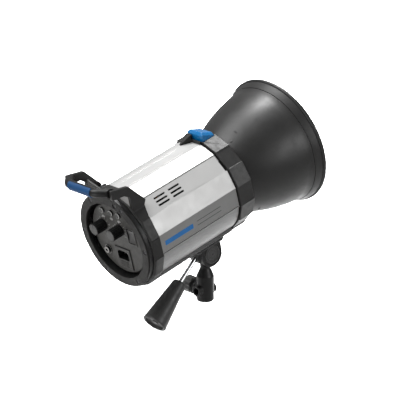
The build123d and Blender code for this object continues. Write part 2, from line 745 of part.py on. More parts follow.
with BuildPart() as modelling_lamp:
    with BuildSketch(side_plane()):
        with BuildLine():
            Polyline((220, 0), (LAMP_S, 0), (LAMP_S, LAMP_BASE_R), (192, LAMP_BASE_R))
            Spline((192, LAMP_BASE_R), (203, 13.5), (214, 11.5), (220, 0),
                   tangents=[(1, 0.25), (0, -1)])
        make_face()
    revolve(axis=OPTICAL)
pieces["modelling_lamp"] = modelling_lamp

# latch: a fixed wedge and sill on the cover, and a button that presses down through the collar
with BuildPart() as latch_ramp:
    with BuildSketch(deck(64.3)):
        Polygon((-12.5, 143), (-10, 143), (-3, 156.5), (13, 156.5), (13, 159.4), (-12.5, 159.4),
                align=None)
    extrude(amount=10.2)
    with BuildSketch(side_plane()):
        Polygon((143, 64), (159.4, 64), (159.4, 74.5), (156.5, 74.5), (143, 65.6), align=None)
    extrude(amount=20, both=True, mode=Mode.INTERSECT)
    with BuildSketch(deck(68)):
        Polygon((-3, 155), (14, 155), (14, 161), (-3, 161), align=None)
    extrude(amount=8, mode=Mode.SUBTRACT)
pieces["latch_ramp"] = latch_ramp

LATCH_FLOOR = 65.4
with BuildPart() as latch_button:
    with BuildSketch(side_plane(-WINDOW_X + 0.1)):
        with BuildLine():
            Polyline((161.2, LATCH_FLOOR), (161.2, 74.0), (164.5, 78.0), (181.0, 71.0),
                     (181.0, LATCH_FLOOR), (161.2, LATCH_FLOOR))
        make_face()
    extrude(amount=2 * WINDOW_X - 0.2)
    top_face = latch_button.faces().sort_by(Axis.Z)[-1]
    chamfer(top_face.edges().filter_by(lambda e: abs(e.tangent_at(0.5).X) < 0.5), 3.4)
pieces["latch_button"] = latch_button

# ================================================================ reflector
BELL = [(186.0, 52.4), (229.0, 71.8), (270.0, 81.3)]     # throat, swell and mouth of the bell
BELL_BEND = (276.5, 82.3)
STEP_S, STEP_R = 281.5, 83.8


def inner(point, wall=DISH_WALL + 0.1):
    """Point of the dish's inner wall opposite a point of the outer one."""
    return (point[0], point[1] - wall)


with BuildPart() as reflector:
    with BuildSketch(side_plane()):
        with BuildLine():
            Line((184.8, 50.0), BELL[0])
            ThreePointArc(*BELL)
            ThreePointArc(BELL[2], BELL_BEND, (STEP_S, STEP_R))
            Polyline((STEP_S, STEP_R), (STEP_S + 0.5, STEP_R + 0.7), (291.8, 87.7), (292.6, 87.2),
                     (293.6, 88.2))
            ThreePointArc((293.6, 88.2), (296.2, RIM_R), (RIM_S, 88.2))
            Line((RIM_S, 88.2), (RIM_S, 86.8))
            Line((RIM_S, 86.8), inner((STEP_S, STEP_R), DISH_WALL + 0.5))
            ThreePointArc(inner((STEP_S, STEP_R), DISH_WALL + 0.5), inner(BELL_BEND), inner(BELL[2]))
            ThreePointArc(inner(BELL[2]), inner(BELL[1]), (187.2, 50.6))
            Line((187.2, 50.6), (186.0, 48.4))
            Line((186.0, 48.4), (184.8, 48.4))
            Line((184.8, 48.4), (184.8, 50.0))
        make_face()
    revolve(axis=OPTICAL)
pieces["reflector"] = reflector

NECK_S0, NECK_S1 = 175.0, 184.8
with BuildPart() as reflector_neck:
    with BuildSketch(station(NECK_S0)):
        ring(NECK_R, NECK_R - 2.0)
    extrude(amount=NECK_S1 - NECK_S0)
    for turn in range(BAYONETS):
        with BuildSketch(station(NECK_S0 - 0.5)):
            ring(53.5, NECK_R - 0.5)
            sector(95 + 120 * turn, 107 + 120 * turn)
        extrude(amount=2.8)
pieces["reflector_neck"] = reflector_neck

# ================================================================ inside the body
TRAY_U = -44.0
TRAY_S, TRAY_L = 90.0, 118.0
SHEET = 1.5              # sheet metal of the chassis
TRAY_TOP = TRAY_U + SHEET
with BuildPart() as chassis_tray:
    with BuildSketch(deck(TRAY_U)):
        with Locations((0, TRAY_S)):
            Rectangle(84, TRAY_L)
    extrude(amount=SHEET)
    with BuildSketch(deck(TRAY_U)):
        with Locations((-24, TRAY_S), (24, TRAY_S)):
            Rectangle(SHEET, TRAY_L)
    extrude(amount=-14)
pieces["chassis_tray"] = chassis_tray

CAPACITOR_R = 17.0
CAPACITOR_U = TRAY_TOP + CAPACITOR_R
with BuildPart() as capacitors:
    with BuildSketch(station(82)):
        with Locations((-19, CAPACITOR_U), (19, CAPACITOR_U)):
            Circle(CAPACITOR_R)
    extrude(amount=62)
    fillet(capacitors.edges().filter_by(GeomType.CIRCLE), 1.5)
pieces["capacitors"] = capacitors

with BuildPart() as capacitor_clamp:
    with BuildSketch(station(106)):
        with Locations((0, CAPACITOR_U + CAPACITOR_R + SHEET / 2)):
            Rectangle(56, SHEET)
        with Locations((0, CAPACITOR_U + CAPACITOR_R / 2)):
            Rectangle(SHEET, CAPACITOR_R)
    extrude(amount=12)
pieces["capacitor_clamp"] = capacitor_clamp

BOARD_U = 6.0
BOARD_T = 1.6
POWER_BOARD_S = 112.0
with BuildPart() as board_posts:
    with BuildSketch(deck(TRAY_TOP)):
        with Locations((0, POWER_BOARD_S)):
            with GridLocations(79, 64, 2, 2):
                Circle(2.4)
    extrude(amount=BOARD_U - TRAY_TOP)
pieces["board_posts"] = board_posts

with BuildPart() as power_board:
    with BuildSketch(deck(BOARD_U)):
        with Locations((0, POWER_BOARD_S)):
            Rectangle(96, 78)
    extrude(amount=BOARD_T)
    # heat sink and a row of small capacitors
    with BuildSketch(deck(BOARD_U + BOARD_T)):
        with Locations((26, 96)):
            Rectangle(30, 34)
    extrude(amount=24)
    with BuildSketch(deck(BOARD_U + BOARD_T)):
        with Locations((0, 138)):
            with GridLocations(14, 0, 4, 1):
                Circle(5)
    extrude(amount=14)
pieces["power_board"] = power_board

TRANSFORMER = (-26, 104)
TRANSFORMER_BASE = 5.0
with BuildPart() as trigger_transformer:
    with BuildSketch(deck(BOARD_U + BOARD_T)):
        with Locations(TRANSFORMER):
            Rectangle(22, 26)
    extrude(amount=TRANSFORMER_BASE)
    with BuildSketch(deck(BOARD_U + BOARD_T + TRANSFORMER_BASE)):
        with Locations(TRANSFORMER):
            Rectangle(16, 20)
    extrude(amount=14)
pieces["trigger_transformer"] = trigger_transformer

FAN_S0 = 42.0
FAN_U = 4.0
FAN_SIDE = 60.0
FAN_T = 15.0
FAN_HUB_R = 11.0
FAN_BACK_T = 2.5         # spider that carries the hub
with BuildPart() as fan_frame:
    with BuildSketch(station(FAN_S0)):
        with Locations((0, FAN_U)):
            RectangleRounded(FAN_SIDE, FAN_SIDE, 4)
            Circle(27.5, mode=Mode.SUBTRACT)
    extrude(amount=FAN_T)
    with BuildSketch(station(FAN_S0 + FAN_T - FAN_BACK_T)):
        with Locations((0, FAN_U)):
            Circle(FAN_HUB_R)
            Rectangle(FAN_SIDE - 2, 3)
            Rectangle(3, FAN_SIDE - 2)
    extrude(amount=FAN_BACK_T)
    # feet down to the tray
    with BuildSketch(station(FAN_S0)):
        for x in (-22, 22):
            with Locations((x, (TRAY_TOP + FAN_U - FAN_SIDE / 2) / 2)):
                Rectangle(8, FAN_U - FAN_SIDE / 2 - TRAY_TOP)
    extrude(amount=FAN_T)
pieces["fan_frame"] = fan_frame

BLADES = 7
with BuildPart() as fan_rotor:
    with BuildSketch(station(FAN_S0 + 1)):
        with Locations((0, FAN_U)):
            Circle(FAN_HUB_R)
    extrude(amount=10.5)
    with BuildSketch(station(FAN_S0 + 2)):
        with Locations((0, FAN_U)):
            with PolarLocations(18, BLADES):
                Rectangle(16.5, 2.2, rotation=12)
    extrude(amount=8)
pieces["fan_rotor"] = fan_rotor

# ================================================================ bracket on the stand
BOSS_INNER = 2.5         # clamp bosses: inner end, ends of the two outer ones
BOSS_BACK = 16.5
BOSS_SIDE = 15.5
BOSS_Z = CLAMP_Z + 1.2
with BuildPart() as stand_socket:
    # turned post: socket, shoulder and neck up to the lug
    with BuildSketch(Plane.XZ):
        with BuildLine():
            Polyline((0, 0), (SOCKET_R - 1.6, 0), (SOCKET_R, 1.6), (SOCKET_R, SOCKET_H),
                     (NECK_POST_R + 0.6, SOCKET_H + 10), (NECK_POST_R, SOCKET_H + 11),
                     (NECK_POST_R, PIVOT_Z - LUG_R), (LUG_HALF - 0.6, PIVOT_Z - LUG_R + 1),
                     (LUG_HALF - 0.6, PIVOT_Z), (0, PIVOT_Z), (0, 0))
        make_face()
    revolve(axis=Axis.Z)
    with BuildSketch(Plane.XZ.offset(BOSS_BACK)):
        with Locations((0, BOSS_Z)):
            Circle(7.4)
    extrude(amount=BOSS_INNER - BOSS_BACK)
    with BuildSketch(Plane.YZ):
        with BuildLine():
            Polyline((BOSS_INNER, CLAMP_Z), (BOSS_INNER, CLAMP_Z + 7.2), (14.0, CLAMP_Z + 7.2),
                     (15.6, CLAMP_Z + 5.6), (15.6, CLAMP_Z), (BOSS_INNER, CLAMP_Z))
        make_face()
    revolve(axis=Axis((0, 0, CLAMP_Z), (0, 1, 0)))
    with BuildSketch(Plane.YZ.offset(-BOSS_SIDE)):
        with Locations((0, CLAMP_Z)):
            Circle(6.4)
    extrude(amount=BOSS_SIDE - BOSS_INNER)
    with BuildSketch(Plane.YZ.offset(-LUG_HALF)):
        with Locations((0, PIVOT_Z)):
            Circle(LUG_R)
    extrude(amount=2 * LUG_HALF)
    with BuildSketch(Plane.XY):
        Circle(BORE_R)
    extrude(amount=BORE_DEPTH, mode=Mode.SUBTRACT)
    with BuildSketch(Plane.XZ.offset(BOSS_BACK)):
        with Locations((0, BOSS_Z)):
            Circle(4.6)
    extrude(amount=-12, mode=Mode.SUBTRACT)
    with BuildSketch(Plane.YZ.offset(-BOSS_SIDE)):
        with Locations((0, CLAMP_Z)):
            Circle(PIN_R - 0.05)
    extrude(amount=12, mode=Mode.SUBTRACT)
    with BuildSketch(Plane.YZ.offset(-LUG_HALF)):
        with Locations((0, PIVOT_Z)):
            Circle(PIN_R)
    extrude(amount=2 * LUG_HALF, mode=Mode.SUBTRACT)
pieces["stand_socket"] = stand_socket

BOLT_HALF = 12.6
with BuildPart() as pivot_bolt:
    with BuildSketch(Plane.YZ.offset(-BOLT_HALF)):
        with Locations((0, PIVOT_Z)):
            Circle(PIN_R)
    extrude(amount=2 * BOLT_HALF)
pieces["pivot_bolt"] = pivot_bolt

WASHER_T = 0.4
with BuildPart() as friction_washers:
    for x in (-LUG_HALF - WASHER_T, LUG_HALF):
        with BuildSketch(Plane.YZ.offset(x)):
            with Locations((0, PIVOT_Z)):
                ring(LUG_R - 0.4, PIN_R)
        extrude(amount=WASHER_T)
pieces["friction_washers"] = friction_washers

KNOB_LOBES = 8
KNOB_X0, KNOB_X1 = -36.0, -20.5
SCREW_X0 = -24.0
with BuildPart() as stand_knob:
    with BuildSketch(Plane.YZ.offset(KNOB_X0)):
        with Locations((0, CLAMP_Z)):
            Circle(11.5)
            with PolarLocations(13.4, KNOB_LOBES):
                Circle(3.4, mode=Mode.SUBTRACT)
    extrude(amount=KNOB_X1 - KNOB_X0)
    fillet(stand_knob.faces().sort_by(Axis.X)[0].outer_wire().edges(), 0.9)
    with BuildSketch(Plane.YZ.offset(KNOB_X1)):
        with Locations((0, CLAMP_Z)):
            Circle(6.2)
    extrude(amount=4.2)
    # clamp screw moulded into the knob
    with BuildSketch(Plane.YZ.offset(SCREW_X0)):
        with Locations((0, CLAMP_Z)):
            Circle(PIN_R - 0.1)
    extrude(amount=-SCREW_X0 - BORE_R - 0.6)
pieces["stand_knob"] = stand_knob

# ================================================================ yoke under the head
LEVER_FOOT = Vector(0, -17.0, PIVOT_Z - 4.4)       # where the rod leaves the yoke
LEVER_WAY = Vector(0.105, -0.769, -0.631).normalized()
ROD_R = 3.0
BRIDGE_R0, BRIDGE_R1 = 12.7, 19.4
BASE_S0, BASE_S1 = 108.0, 157.0
BASE_X = 22.0
BASE_U = -73.0
BASE_T = 14.0
COVER_DEPTH = 0.9        # seat of the cheeks' round covers
COVER_T = 1.5
COVER_R = 12.8
SCREW_X = 18.2
SCREW_HEAD = 1.8
SCREW_SS = (BASE_S0 + 5.0, BASE_S1 - 5.0)

with BuildPart() as yoke:
    with BuildSketch(side_plane(-CHEEK_X1)):
        with Locations((PIVOT_S, PIVOT_U)):
            Circle(CHEEK_R)
        with BuildLine():
            Polyline((PIVOT_S - 17.0, PIVOT_U + 3), (PIVOT_S - 20, -66), (PIVOT_S + 17.5, -66),
                     (PIVOT_S + 17.2, PIVOT_U + 3), (PIVOT_S - 17.0, PIVOT_U + 3))
        make_face()
    extrude(amount=2 * CHEEK_X1)
    with BuildSketch(side_plane(-CHEEK_X0)):
        with Locations((PIVOT_S, PIVOT_U)):
            Circle(19.0)
        with Locations((PIVOT_S, PIVOT_U - 12)):
            Rectangle(44, 24)
    extrude(amount=2 * CHEEK_X0, mode=Mode.SUBTRACT)
    with BuildSketch(side_plane(-CHEEK_X0 - 0.1)):
        with Locations((PIVOT_S, PIVOT_U)):
            Circle(BRIDGE_R1)
            Circle(BRIDGE_R0, mode=Mode.SUBTRACT)
            sector(118, 180 + 21)
    extrude(amount=2 * CHEEK_X0 + 0.2)
    with BuildSketch(deck(BASE_U)):
        with Locations((0, (BASE_S0 + BASE_S1) / 2)):
            RectangleRounded(2 * BASE_X, BASE_S1 - BASE_S0, 4)
    extrude(amount=BASE_T)
    with BuildSketch(station(BASE_S0 - 10)):
        Circle(65.05)
    extrude(amount=80, mode=Mode.SUBTRACT)
    with BuildSketch(side_plane(-CHEEK_X1 - 1)):
        with Locations((PIVOT_S, PIVOT_U)):
            Circle(PIN_R + 0.05)
    extrude(amount=2 * CHEEK_X1 + 2, mode=Mode.SUBTRACT)
    for x in (-CHEEK_X1, CHEEK_X1 - COVER_DEPTH):
        with BuildSketch(side_plane(x)):
            with Locations((PIVOT_S, PIVOT_U)):
                Circle(COVER_R + 0.4)
        extrude(amount=COVER_DEPTH, mode=Mode.SUBTRACT)
    with BuildSketch(Plane(origin=LEVER_FOOT - LEVER_WAY * 8, z_dir=LEVER_WAY)):
        Circle(ROD_R + 0.05)
    extrude(amount=20, mode=Mode.SUBTRACT)
pieces["yoke"] = yoke

with BuildPart() as cheek_covers:
    for x, way in ((-CHEEK_X1 + COVER_DEPTH, -1), (CHEEK_X1 - COVER_DEPTH, 1)):
        with BuildSketch(side_plane(x)):
            with Locations((PIVOT_S, PIVOT_U)):
                Circle(COVER_R)
        extrude(amount=COVER_T * way)
    fillet(cheek_covers.faces().sort_by(Axis.X)[0].edges(), 0.6)
    fillet(cheek_covers.faces().sort_by(Axis.X)[-1].edges(), 0.6)
    outer_x = CHEEK_X1 - COVER_DEPTH + COVER_T
    for x, way in ((-outer_x, 1), (outer_x, -1)):
        with BuildSketch(side_plane(x)):
            with Locations((PIVOT_S, PIVOT_U)):
                RegularPolygon(3.2, 6)
        extrude(amount=0.9 * way, mode=Mode.SUBTRACT)
pieces["cheek_covers"] = cheek_covers

with BuildPart() as yoke_screws:
    with BuildSketch(deck(BASE_U)):
        for s in SCREW_SS:
            with Locations((-SCREW_X, s), (SCREW_X, s)):
                Circle(2.8)
    extrude(amount=-SCREW_HEAD)
    with BuildSketch(deck(BASE_U - SCREW_HEAD)):
        for s in SCREW_SS:
            with Locations((-SCREW_X, s), (SCREW_X, s)):
                RegularPolygon(1.6, 6)
    extrude(amount=1.2, mode=Mode.SUBTRACT)
pieces["yoke_screws"] = yoke_screws


def lever_plane(length):
    """Plane across the tilt lever, at a length from where it leaves the yoke."""
    return Plane(origin=LEVER_FOOT + LEVER_WAY * length, x_dir=(1, 0, -LEVER_WAY.X / LEVER_WAY.Z),
                 z_dir=LEVER_WAY)


GRIP_L0, GRIP_L1 = 41.0, 108.0
GRIP_R0, GRIP_R1 = 9.3, 16.8
GRIP_HOLD = 18.0         # length of rod inside the grip
CAP_DEPTH = 5.0          # seat of the end cap
CAP_R = GRIP_R1 - 3.7
CAP_T = 1.6
ROD_L0 = -0.6            # the rod stops short of the lug
with BuildPart() as lever_rod:
    with BuildSketch(lever_plane(ROD_L0)):
        Circle(ROD_R)
    extrude(amount=GRIP_L0 + GRIP_HOLD - ROD_L0)
pieces["lever_rod"] = lever_rod

with BuildPart() as lever_grip:
    with BuildSketch(lever_plane(GRIP_L0)):
        Circle(GRIP_R0)
    with BuildSketch(lever_plane(GRIP_L1)):
        Circle(GRIP_R1)
    loft()
    fillet(lever_grip.edges().filter_by(GeomType.CIRCLE), 2.2)
    with BuildSketch(lever_plane(GRIP_L1)):
        Circle(CAP_R + 0.1)
    extrude(amount=-CAP_DEPTH, mode=Mode.SUBTRACT)
    with BuildSketch(lever_plane(GRIP_L0)):
        Circle(ROD_R)
    extrude(amount=GRIP_HOLD, mode=Mode.SUBTRACT)
pieces["lever_grip"] = lever_grip

with BuildPart() as lever_cap:
    with BuildSketch(lever_plane(GRIP_L1 - CAP_DEPTH)):
        Circle(CAP_R)
    extrude(amount=CAP_T)
    with BuildSketch(lever_plane(GRIP_L1 - CAP_DEPTH + CAP_T)):
        Circle(4.0)
    extrude(amount=1.4)
pieces["lever_cap"] = lever_cap

# ================================================================ write the pieces
for name, piece in pieces.items():
    piece.part.label = name
    export_step(piece.part, f"parts/{name}.step")

print(len(pieces), "nodes; head origin", HEAD, "lever way", LEVER_WAY)
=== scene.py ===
"""Looks of a monolight strobe: finishes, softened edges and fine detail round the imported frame."""
import json
from math import atan2, cos, degrees, pi, radians, sin, sqrt

import bmesh
import bpy
from mathutils import Matrix, Vector


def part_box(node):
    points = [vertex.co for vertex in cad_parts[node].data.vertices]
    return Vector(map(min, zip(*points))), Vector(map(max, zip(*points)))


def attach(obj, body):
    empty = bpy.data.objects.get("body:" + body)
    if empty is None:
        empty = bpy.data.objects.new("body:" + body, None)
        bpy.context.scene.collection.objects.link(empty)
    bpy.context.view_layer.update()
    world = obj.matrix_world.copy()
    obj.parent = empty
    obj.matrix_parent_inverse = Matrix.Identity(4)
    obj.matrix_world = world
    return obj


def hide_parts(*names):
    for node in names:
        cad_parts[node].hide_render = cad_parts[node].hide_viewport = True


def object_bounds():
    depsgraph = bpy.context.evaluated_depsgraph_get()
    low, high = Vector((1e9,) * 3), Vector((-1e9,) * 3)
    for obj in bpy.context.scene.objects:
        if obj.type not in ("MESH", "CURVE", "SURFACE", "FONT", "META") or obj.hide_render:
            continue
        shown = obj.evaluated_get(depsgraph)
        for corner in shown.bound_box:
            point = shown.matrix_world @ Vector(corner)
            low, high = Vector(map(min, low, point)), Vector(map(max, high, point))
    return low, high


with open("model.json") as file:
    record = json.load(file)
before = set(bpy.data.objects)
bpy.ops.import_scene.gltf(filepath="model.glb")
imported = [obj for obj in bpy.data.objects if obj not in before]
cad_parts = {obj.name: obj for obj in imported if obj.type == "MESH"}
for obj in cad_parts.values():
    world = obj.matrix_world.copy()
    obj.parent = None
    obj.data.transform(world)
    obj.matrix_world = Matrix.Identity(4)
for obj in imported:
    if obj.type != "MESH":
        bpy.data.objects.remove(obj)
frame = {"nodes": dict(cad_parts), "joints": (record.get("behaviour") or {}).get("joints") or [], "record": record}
CAD_LOW, CAD_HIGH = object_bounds()

MM = 0.001
RECORD = frame["record"]
JOINTS = {j["name"]: j for j in frame["joints"]}
BODY_OF = {node: body for body, nodes in RECORD["behaviour"]["bodies"].items() for node in nodes}

# ------------------------------------------------------------ the head's own frame
# Local x, s (forward along the optical axis) and u (upwards) in millimetres.
TWIST_S = 180.0                      # station of the reflector joint's reference point
SIDE = Vector((1, 0, 0))
FORWARD = Vector(JOINTS["reflector_twist"]["axis"]).normalized()
UPWARD = SIDE.cross(FORWARD)
HEAD = Vector(JOINTS["reflector_twist"]["pos_m"]) - FORWARD * TWIST_S * MM


def frame_matrix(origin, x, y, z):
    """Matrix from local millimetres to the row frame."""
    turn = Matrix((x, y, z)).transposed().to_4x4()
    return Matrix.Translation(origin) @ turn @ Matrix.Scale(MM, 4)


HEAD_FRAME = frame_matrix(HEAD, SIDE, FORWARD, UPWARD)
ROW_FRAME = Matrix.Scale(MM, 4)

PANEL_S = 8.0                        # face of the control panel
KNOBS = {name: (HEAD_FRAME.inverted() @ Vector(JOINTS[f"{name}_turn"]["pos_m"]))
         for name in ("flash_dial", "lamp_dial")}


def head_box(node):
    """Lowest and highest corner of a CAD node in the head's own millimetres."""
    inverse = HEAD_FRAME.inverted()
    points = [inverse @ v.co for v in frame["nodes"][node].data.vertices]
    return (Vector(min(p[i] for p in points) for i in range(3)),
            Vector(max(p[i] for p in points) for i in range(3)))


# ------------------------------------------------------------ node materials
class Surface:
    """A Principled material with a few procedural layers of its own."""

    def __init__(self, name, color, rough, metallic=0.0, **sockets):
        self.name = name
        self.material = bpy.data.materials.new(name)
        self.material.use_nodes = True
        self.tree = self.material.node_tree
        self.shader = self.tree.nodes["Principled BSDF"]
        self.color = color
        self.rough = rough
        self.shader.inputs["Base Color"].default_value = (*color, 1)
        self.shader.inputs["Roughness"].default_value = rough
        self.shader.inputs["Metallic"].default_value = metallic
        for socket, value in sockets.items():
            self.shader.inputs[socket.replace("_", " ")].default_value = value
        self.place = self.tree.nodes.new("ShaderNodeTexCoord").outputs["Object"]
        self.normal = None

    def link(self, a, b):
        self.tree.links.new(a, b)

    def mapped(self, scale=(1, 1, 1), turn=(0, 0, 0)):
        """Object coordinates, turned and stretched."""
        node = self.tree.nodes.new("ShaderNodeMapping")
        node.inputs["Rotation"].default_value = turn
        node.inputs["Scale"].default_value = scale
        self.link(self.place, node.inputs["Vector"])
        return node.outputs["Vector"]

    def noise(self, scale, detail=4.0, vector=None, roughness=0.55):
        node = self.tree.nodes.new("ShaderNodeTexNoise")
        node.inputs["Scale"].default_value = scale
        node.inputs["Detail"].default_value = detail
        node.inputs["Roughness"].default_value = roughness
        self.link(vector or self.place, node.inputs["Vector"])
        return node.outputs["Fac"]

    def cells(self, scale, vector=None, feature="F1"):
        node = self.tree.nodes.new("ShaderNodeTexVoronoi")
        node.feature = feature
        node.inputs["Scale"].default_value = scale
        self.link(vector or self.place, node.inputs["Vector"])
        return node.outputs["Distance"]

    def spread(self, value, low, high, from_low=0.3, from_high=0.7):
        """value, remapped to run from low to high."""
        node = self.tree.nodes.new("ShaderNodeMapRange")
        for key, number in (("From Min", from_low), ("From Max", from_high),
                            ("To Min", low), ("To Max", high)):
            node.inputs[key].default_value = number
        self.link(value, node.inputs["Value"])
        return node.outputs["Result"]

    def tint(self, value, other, amount=1.0):
        """The colour drifts towards other as value goes from 0 to 1."""
        mix = self.tree.nodes.new("ShaderNodeMix")
        mix.data_type = "RGBA"
        source = self.shader.inputs["Base Color"]
        if source.links:
            self.link(source.links[0].from_socket, mix.inputs["A"])
        else:
            mix.inputs["A"].default_value = (*self.color, 1)
        mix.inputs["B"].default_value = (*other, 1)
        self.link(self.spread(value, 0, amount, 0, 1), mix.inputs["Factor"])
        self.link(mix.outputs["Result"], source)
        return self

    def roughen(self, value, change):
        self.link(self.spread(value, self.rough - change, self.rough + change),
                  self.shader.inputs["Roughness"])
        return self

    def bump(self, value, depth, strength=1.0):
        """Relief of the given depth in millimetres, laid over the one before."""
        node = self.tree.nodes.new("ShaderNodeBump")
        node.inputs["Distance"].default_value = depth * MM
        node.inputs["Strength"].default_value = strength
        self.link(value, node.inputs["Height"])
        if self.normal is not None:
            self.link(self.normal, node.inputs["Normal"])
        self.normal = node.outputs["Normal"]
        self.link(self.normal, self.shader.inputs["Normal"])
        return self

    def worn_edges(self, color, start=0.52, end=0.6, amount=0.6):
        """Rubbed, lighter corners where the surface is sharply convex, broken up by noise."""
        sharp = self.tree.nodes.new("ShaderNodeNewGeometry").outputs["Pointiness"]
        edge = self.spread(sharp, 0, 1, start, end)
        broken = self.tree.nodes.new("ShaderNodeMath")
        broken.operation = "MULTIPLY"
        self.link(edge, broken.inputs[0])
        self.link(self.spread(self.noise(420, 5), 0.1, 1.0, 0.4, 0.62), broken.inputs[1])
        return self.tint(broken.outputs[0], color, amount)


def moulded(name, color, rough=0.5, grain=1800, depth=0.05, wear=0.35, **sockets):
    """Spark-eroded moulded plastic: fine grain, faint handling marks, lighter corners."""
    surface = Surface(name, color, rough, **sockets)
    surface.tint(surface.spread(surface.noise(60, 5), 0, 1), [c * 0.78 for c in color], 0.7)
    surface.roughen(surface.noise(140, 6), 0.09)
    surface.bump(surface.noise(grain, 3), depth, 0.55)
    surface.bump(surface.noise(38, 2), 0.25, 0.12)
    return surface.worn_edges([min(1, c * 2.0 + 0.03) for c in color], amount=wear)


def painted(name, color, rough=0.36, **sockets):
    """Powder coat: orange peel, a trace of dust and smudges in the gloss."""
    surface = Surface(name, color, rough, **sockets)
    surface.tint(surface.spread(surface.noise(22, 6), 0, 1), [c * 0.93 for c in color], 0.6)
    surface.roughen(surface.noise(75, 7), 0.07)
    surface.bump(surface.noise(780, 2), 0.035, 0.5)
    surface.bump(surface.noise(3600, 2), 0.01, 0.4)
    return surface


def brushed(name, color, rough=0.34, metallic=0.9, along=FORWARD, grain=5200, depth=0.012):
    """Metal with fine lines that run along one direction."""
    surface = Surface(name, color, rough, metallic)
    tilt = atan2(along.z, along.y)
    lines = surface.mapped((1, 0.012, 1), (-tilt, 0, 0))
    streak = surface.noise(grain * 0.25, 3, lines)
    surface.tint(surface.spread(streak, 0, 1, 0.35, 0.65), [c * 0.8 for c in color], 0.6)
    surface.roughen(surface.noise(grain * 0.12, 4, lines), 0.09)
    surface.bump(surface.noise(grain, 2, lines), depth, 0.6)
    return surface


def turned(name, color, rough=0.25, metallic=1.0, depth=0.01, rings=2600):
    """Metal turned or spun about the optical axis: faint rings one behind the other."""
    surface = Surface(name, color, rough, metallic)
    tilt = atan2(FORWARD.z, FORWARD.y)
    stations = surface.mapped((0.02, 1, 0.02), (-tilt, 0, 0))
    bands = surface.noise(rings * 0.3, 3, stations)
    surface.tint(surface.spread(bands, 0, 1), [c * 0.82 for c in color], 0.5)
    surface.roughen(surface.noise(90, 5), 0.06)
    surface.bump(surface.noise(rings, 2, stations), depth, 0.6)
    return surface


def make_materials():
    """Every finish, by its name."""
    surfaces = (
        painted("white_paint", (0.50, 0.50, 0.495), 0.36, Metallic=0.26, Coat_Weight=0.10,
                Coat_Roughness=0.25),
        painted("label_grey", (0.24, 0.24, 0.238), 0.42, Metallic=0.25),
        brushed("silver_panel", (0.25, 0.25, 0.25), 0.40, 0.6),
        brushed("rail_silver", (0.12, 0.12, 0.12), 0.32, 0.7),
        moulded("seal_rubber", (0.010, 0.010, 0.010), 0.7, 900, 0.05, 0.0),
        moulded("dark_plastic", (0.012, 0.0117, 0.0112), 0.44, 1500, 0.05, 0.45, Specular_IOR_Level=0.35),
        moulded("collar_plastic", (0.024, 0.0238, 0.0235), 0.38, 1500, 0.05, 0.45, Specular_IOR_Level=0.4),
        # painted highlight: a light grey that stands in for the sheen on the right gusset of the dark housing
        moulded("gusset_painted_highlight", (0.24, 0.237, 0.232), 0.5, 1500, 0.05, 0.2),
        moulded("black_plastic", (0.006, 0.006, 0.006), 0.38, 1900, 0.03, 0.25, Specular_IOR_Level=0.3),
        moulded("bezel_grey", (0.017, 0.0167, 0.0158), 0.50, 1700, 0.04, 0.35, Specular_IOR_Level=0.2),
        moulded("panel_grey", (0.052, 0.051, 0.048), 0.46, 1900, 0.045, 0.3, Specular_IOR_Level=0.3),
        moulded("rocker_grey", (0.024, 0.0235, 0.0225), 0.42, 1900, 0.03, 0.3),
        brushed("cap_grey", (0.062, 0.062, 0.060), 0.46, 0.2),
        moulded("blue_plastic", (0.002, 0.150, 0.400), 0.28, 1200, 0.02, 0.25, Coat_Weight=0.35,
                Coat_Roughness=0.12),
        blue_rubber(),
        moulded("casting", (0.007, 0.007, 0.007), 0.36, 620, 0.10, 0.3, Specular_IOR_Level=0.35),
        moulded("grip_plastic", (0.030, 0.030, 0.0295), 0.40, 1500, 0.03, 0.3),
        brushed("steel", (0.50, 0.50, 0.51), 0.33, 1.0),
        brushed("dark_steel", (0.10, 0.10, 0.105), 0.36, 1.0),
        turned("nickel", (0.30, 0.295, 0.285), 0.32),
        chrome(),
        reflector_paint(),
        reflector_lining(),
        glass("frosted_glass", (0.93, 0.93, 0.90), 0.45, 0.55),
        glass("clear_glass", (0.97, 0.98, 0.98), 0.03, 0.95),
        painted("ceramic", (0.74, 0.72, 0.66), 0.55),
        moulded("lens", (0.30, 0.298, 0.29), 0.3, 1500, 0.01, 0.0, Coat_Weight=0.3),
        moulded("dark_lens", (0.004, 0.004, 0.005), 0.22, 1500, 0.0, 0.0, Specular_IOR_Level=0.4),
        # painted highlight: white for the glint on each key's rounded rim
        moulded("key_rim_painted_highlight", (0.52, 0.52, 0.50), 0.3, 1500, 0.01, 0.0, Coat_Weight=0.3),
        moulded("print_white", (0.70, 0.70, 0.70), 0.5, 1500, 0.01, 0.0),
        moulded("print_dark", (0.035, 0.035, 0.037), 0.5, 1500, 0.01, 0.0),
        moulded("print_blue", (0.006, 0.155, 0.46), 0.4, 1500, 0.01, 0.0),
        painted("circuit_board", (0.006, 0.040, 0.020), 0.35),
        painted("capacitor_sleeve", (0.02, 0.03, 0.12), 0.3),
        brushed("winding", (0.55, 0.24, 0.08), 0.35, 0.8, Vector((0, 0, 1)), 9000, 0.03))
    return {surface.name: surface.material for surface in surfaces}


def blue_rubber():
    """Soft grip: matt, with a fine pattern of raised dots."""
    surface = Surface("blue_rubber", (0.002, 0.050, 0.150), 0.55, Specular_IOR_Level=0.3)
    surface.tint(surface.spread(surface.noise(90, 5), 0, 1), (0.001, 0.030, 0.105), 0.6)
    dots = surface.cells(900)
    surface.bump(surface.spread(dots, 1, 0, 0.1, 0.6), 0.12, 0.6)
    return surface.roughen(surface.noise(160, 5), 0.08)


def chrome():
    """Polished plate with hairline scratches."""
    surface = Surface("chrome", (0.56, 0.57, 0.58), 0.12, 1.0)
    surface.roughen(surface.noise(240, 7), 0.04)
    return surface.bump(surface.noise(2200, 2, surface.mapped((1, 0.1, 0.1))), 0.004, 0.4)


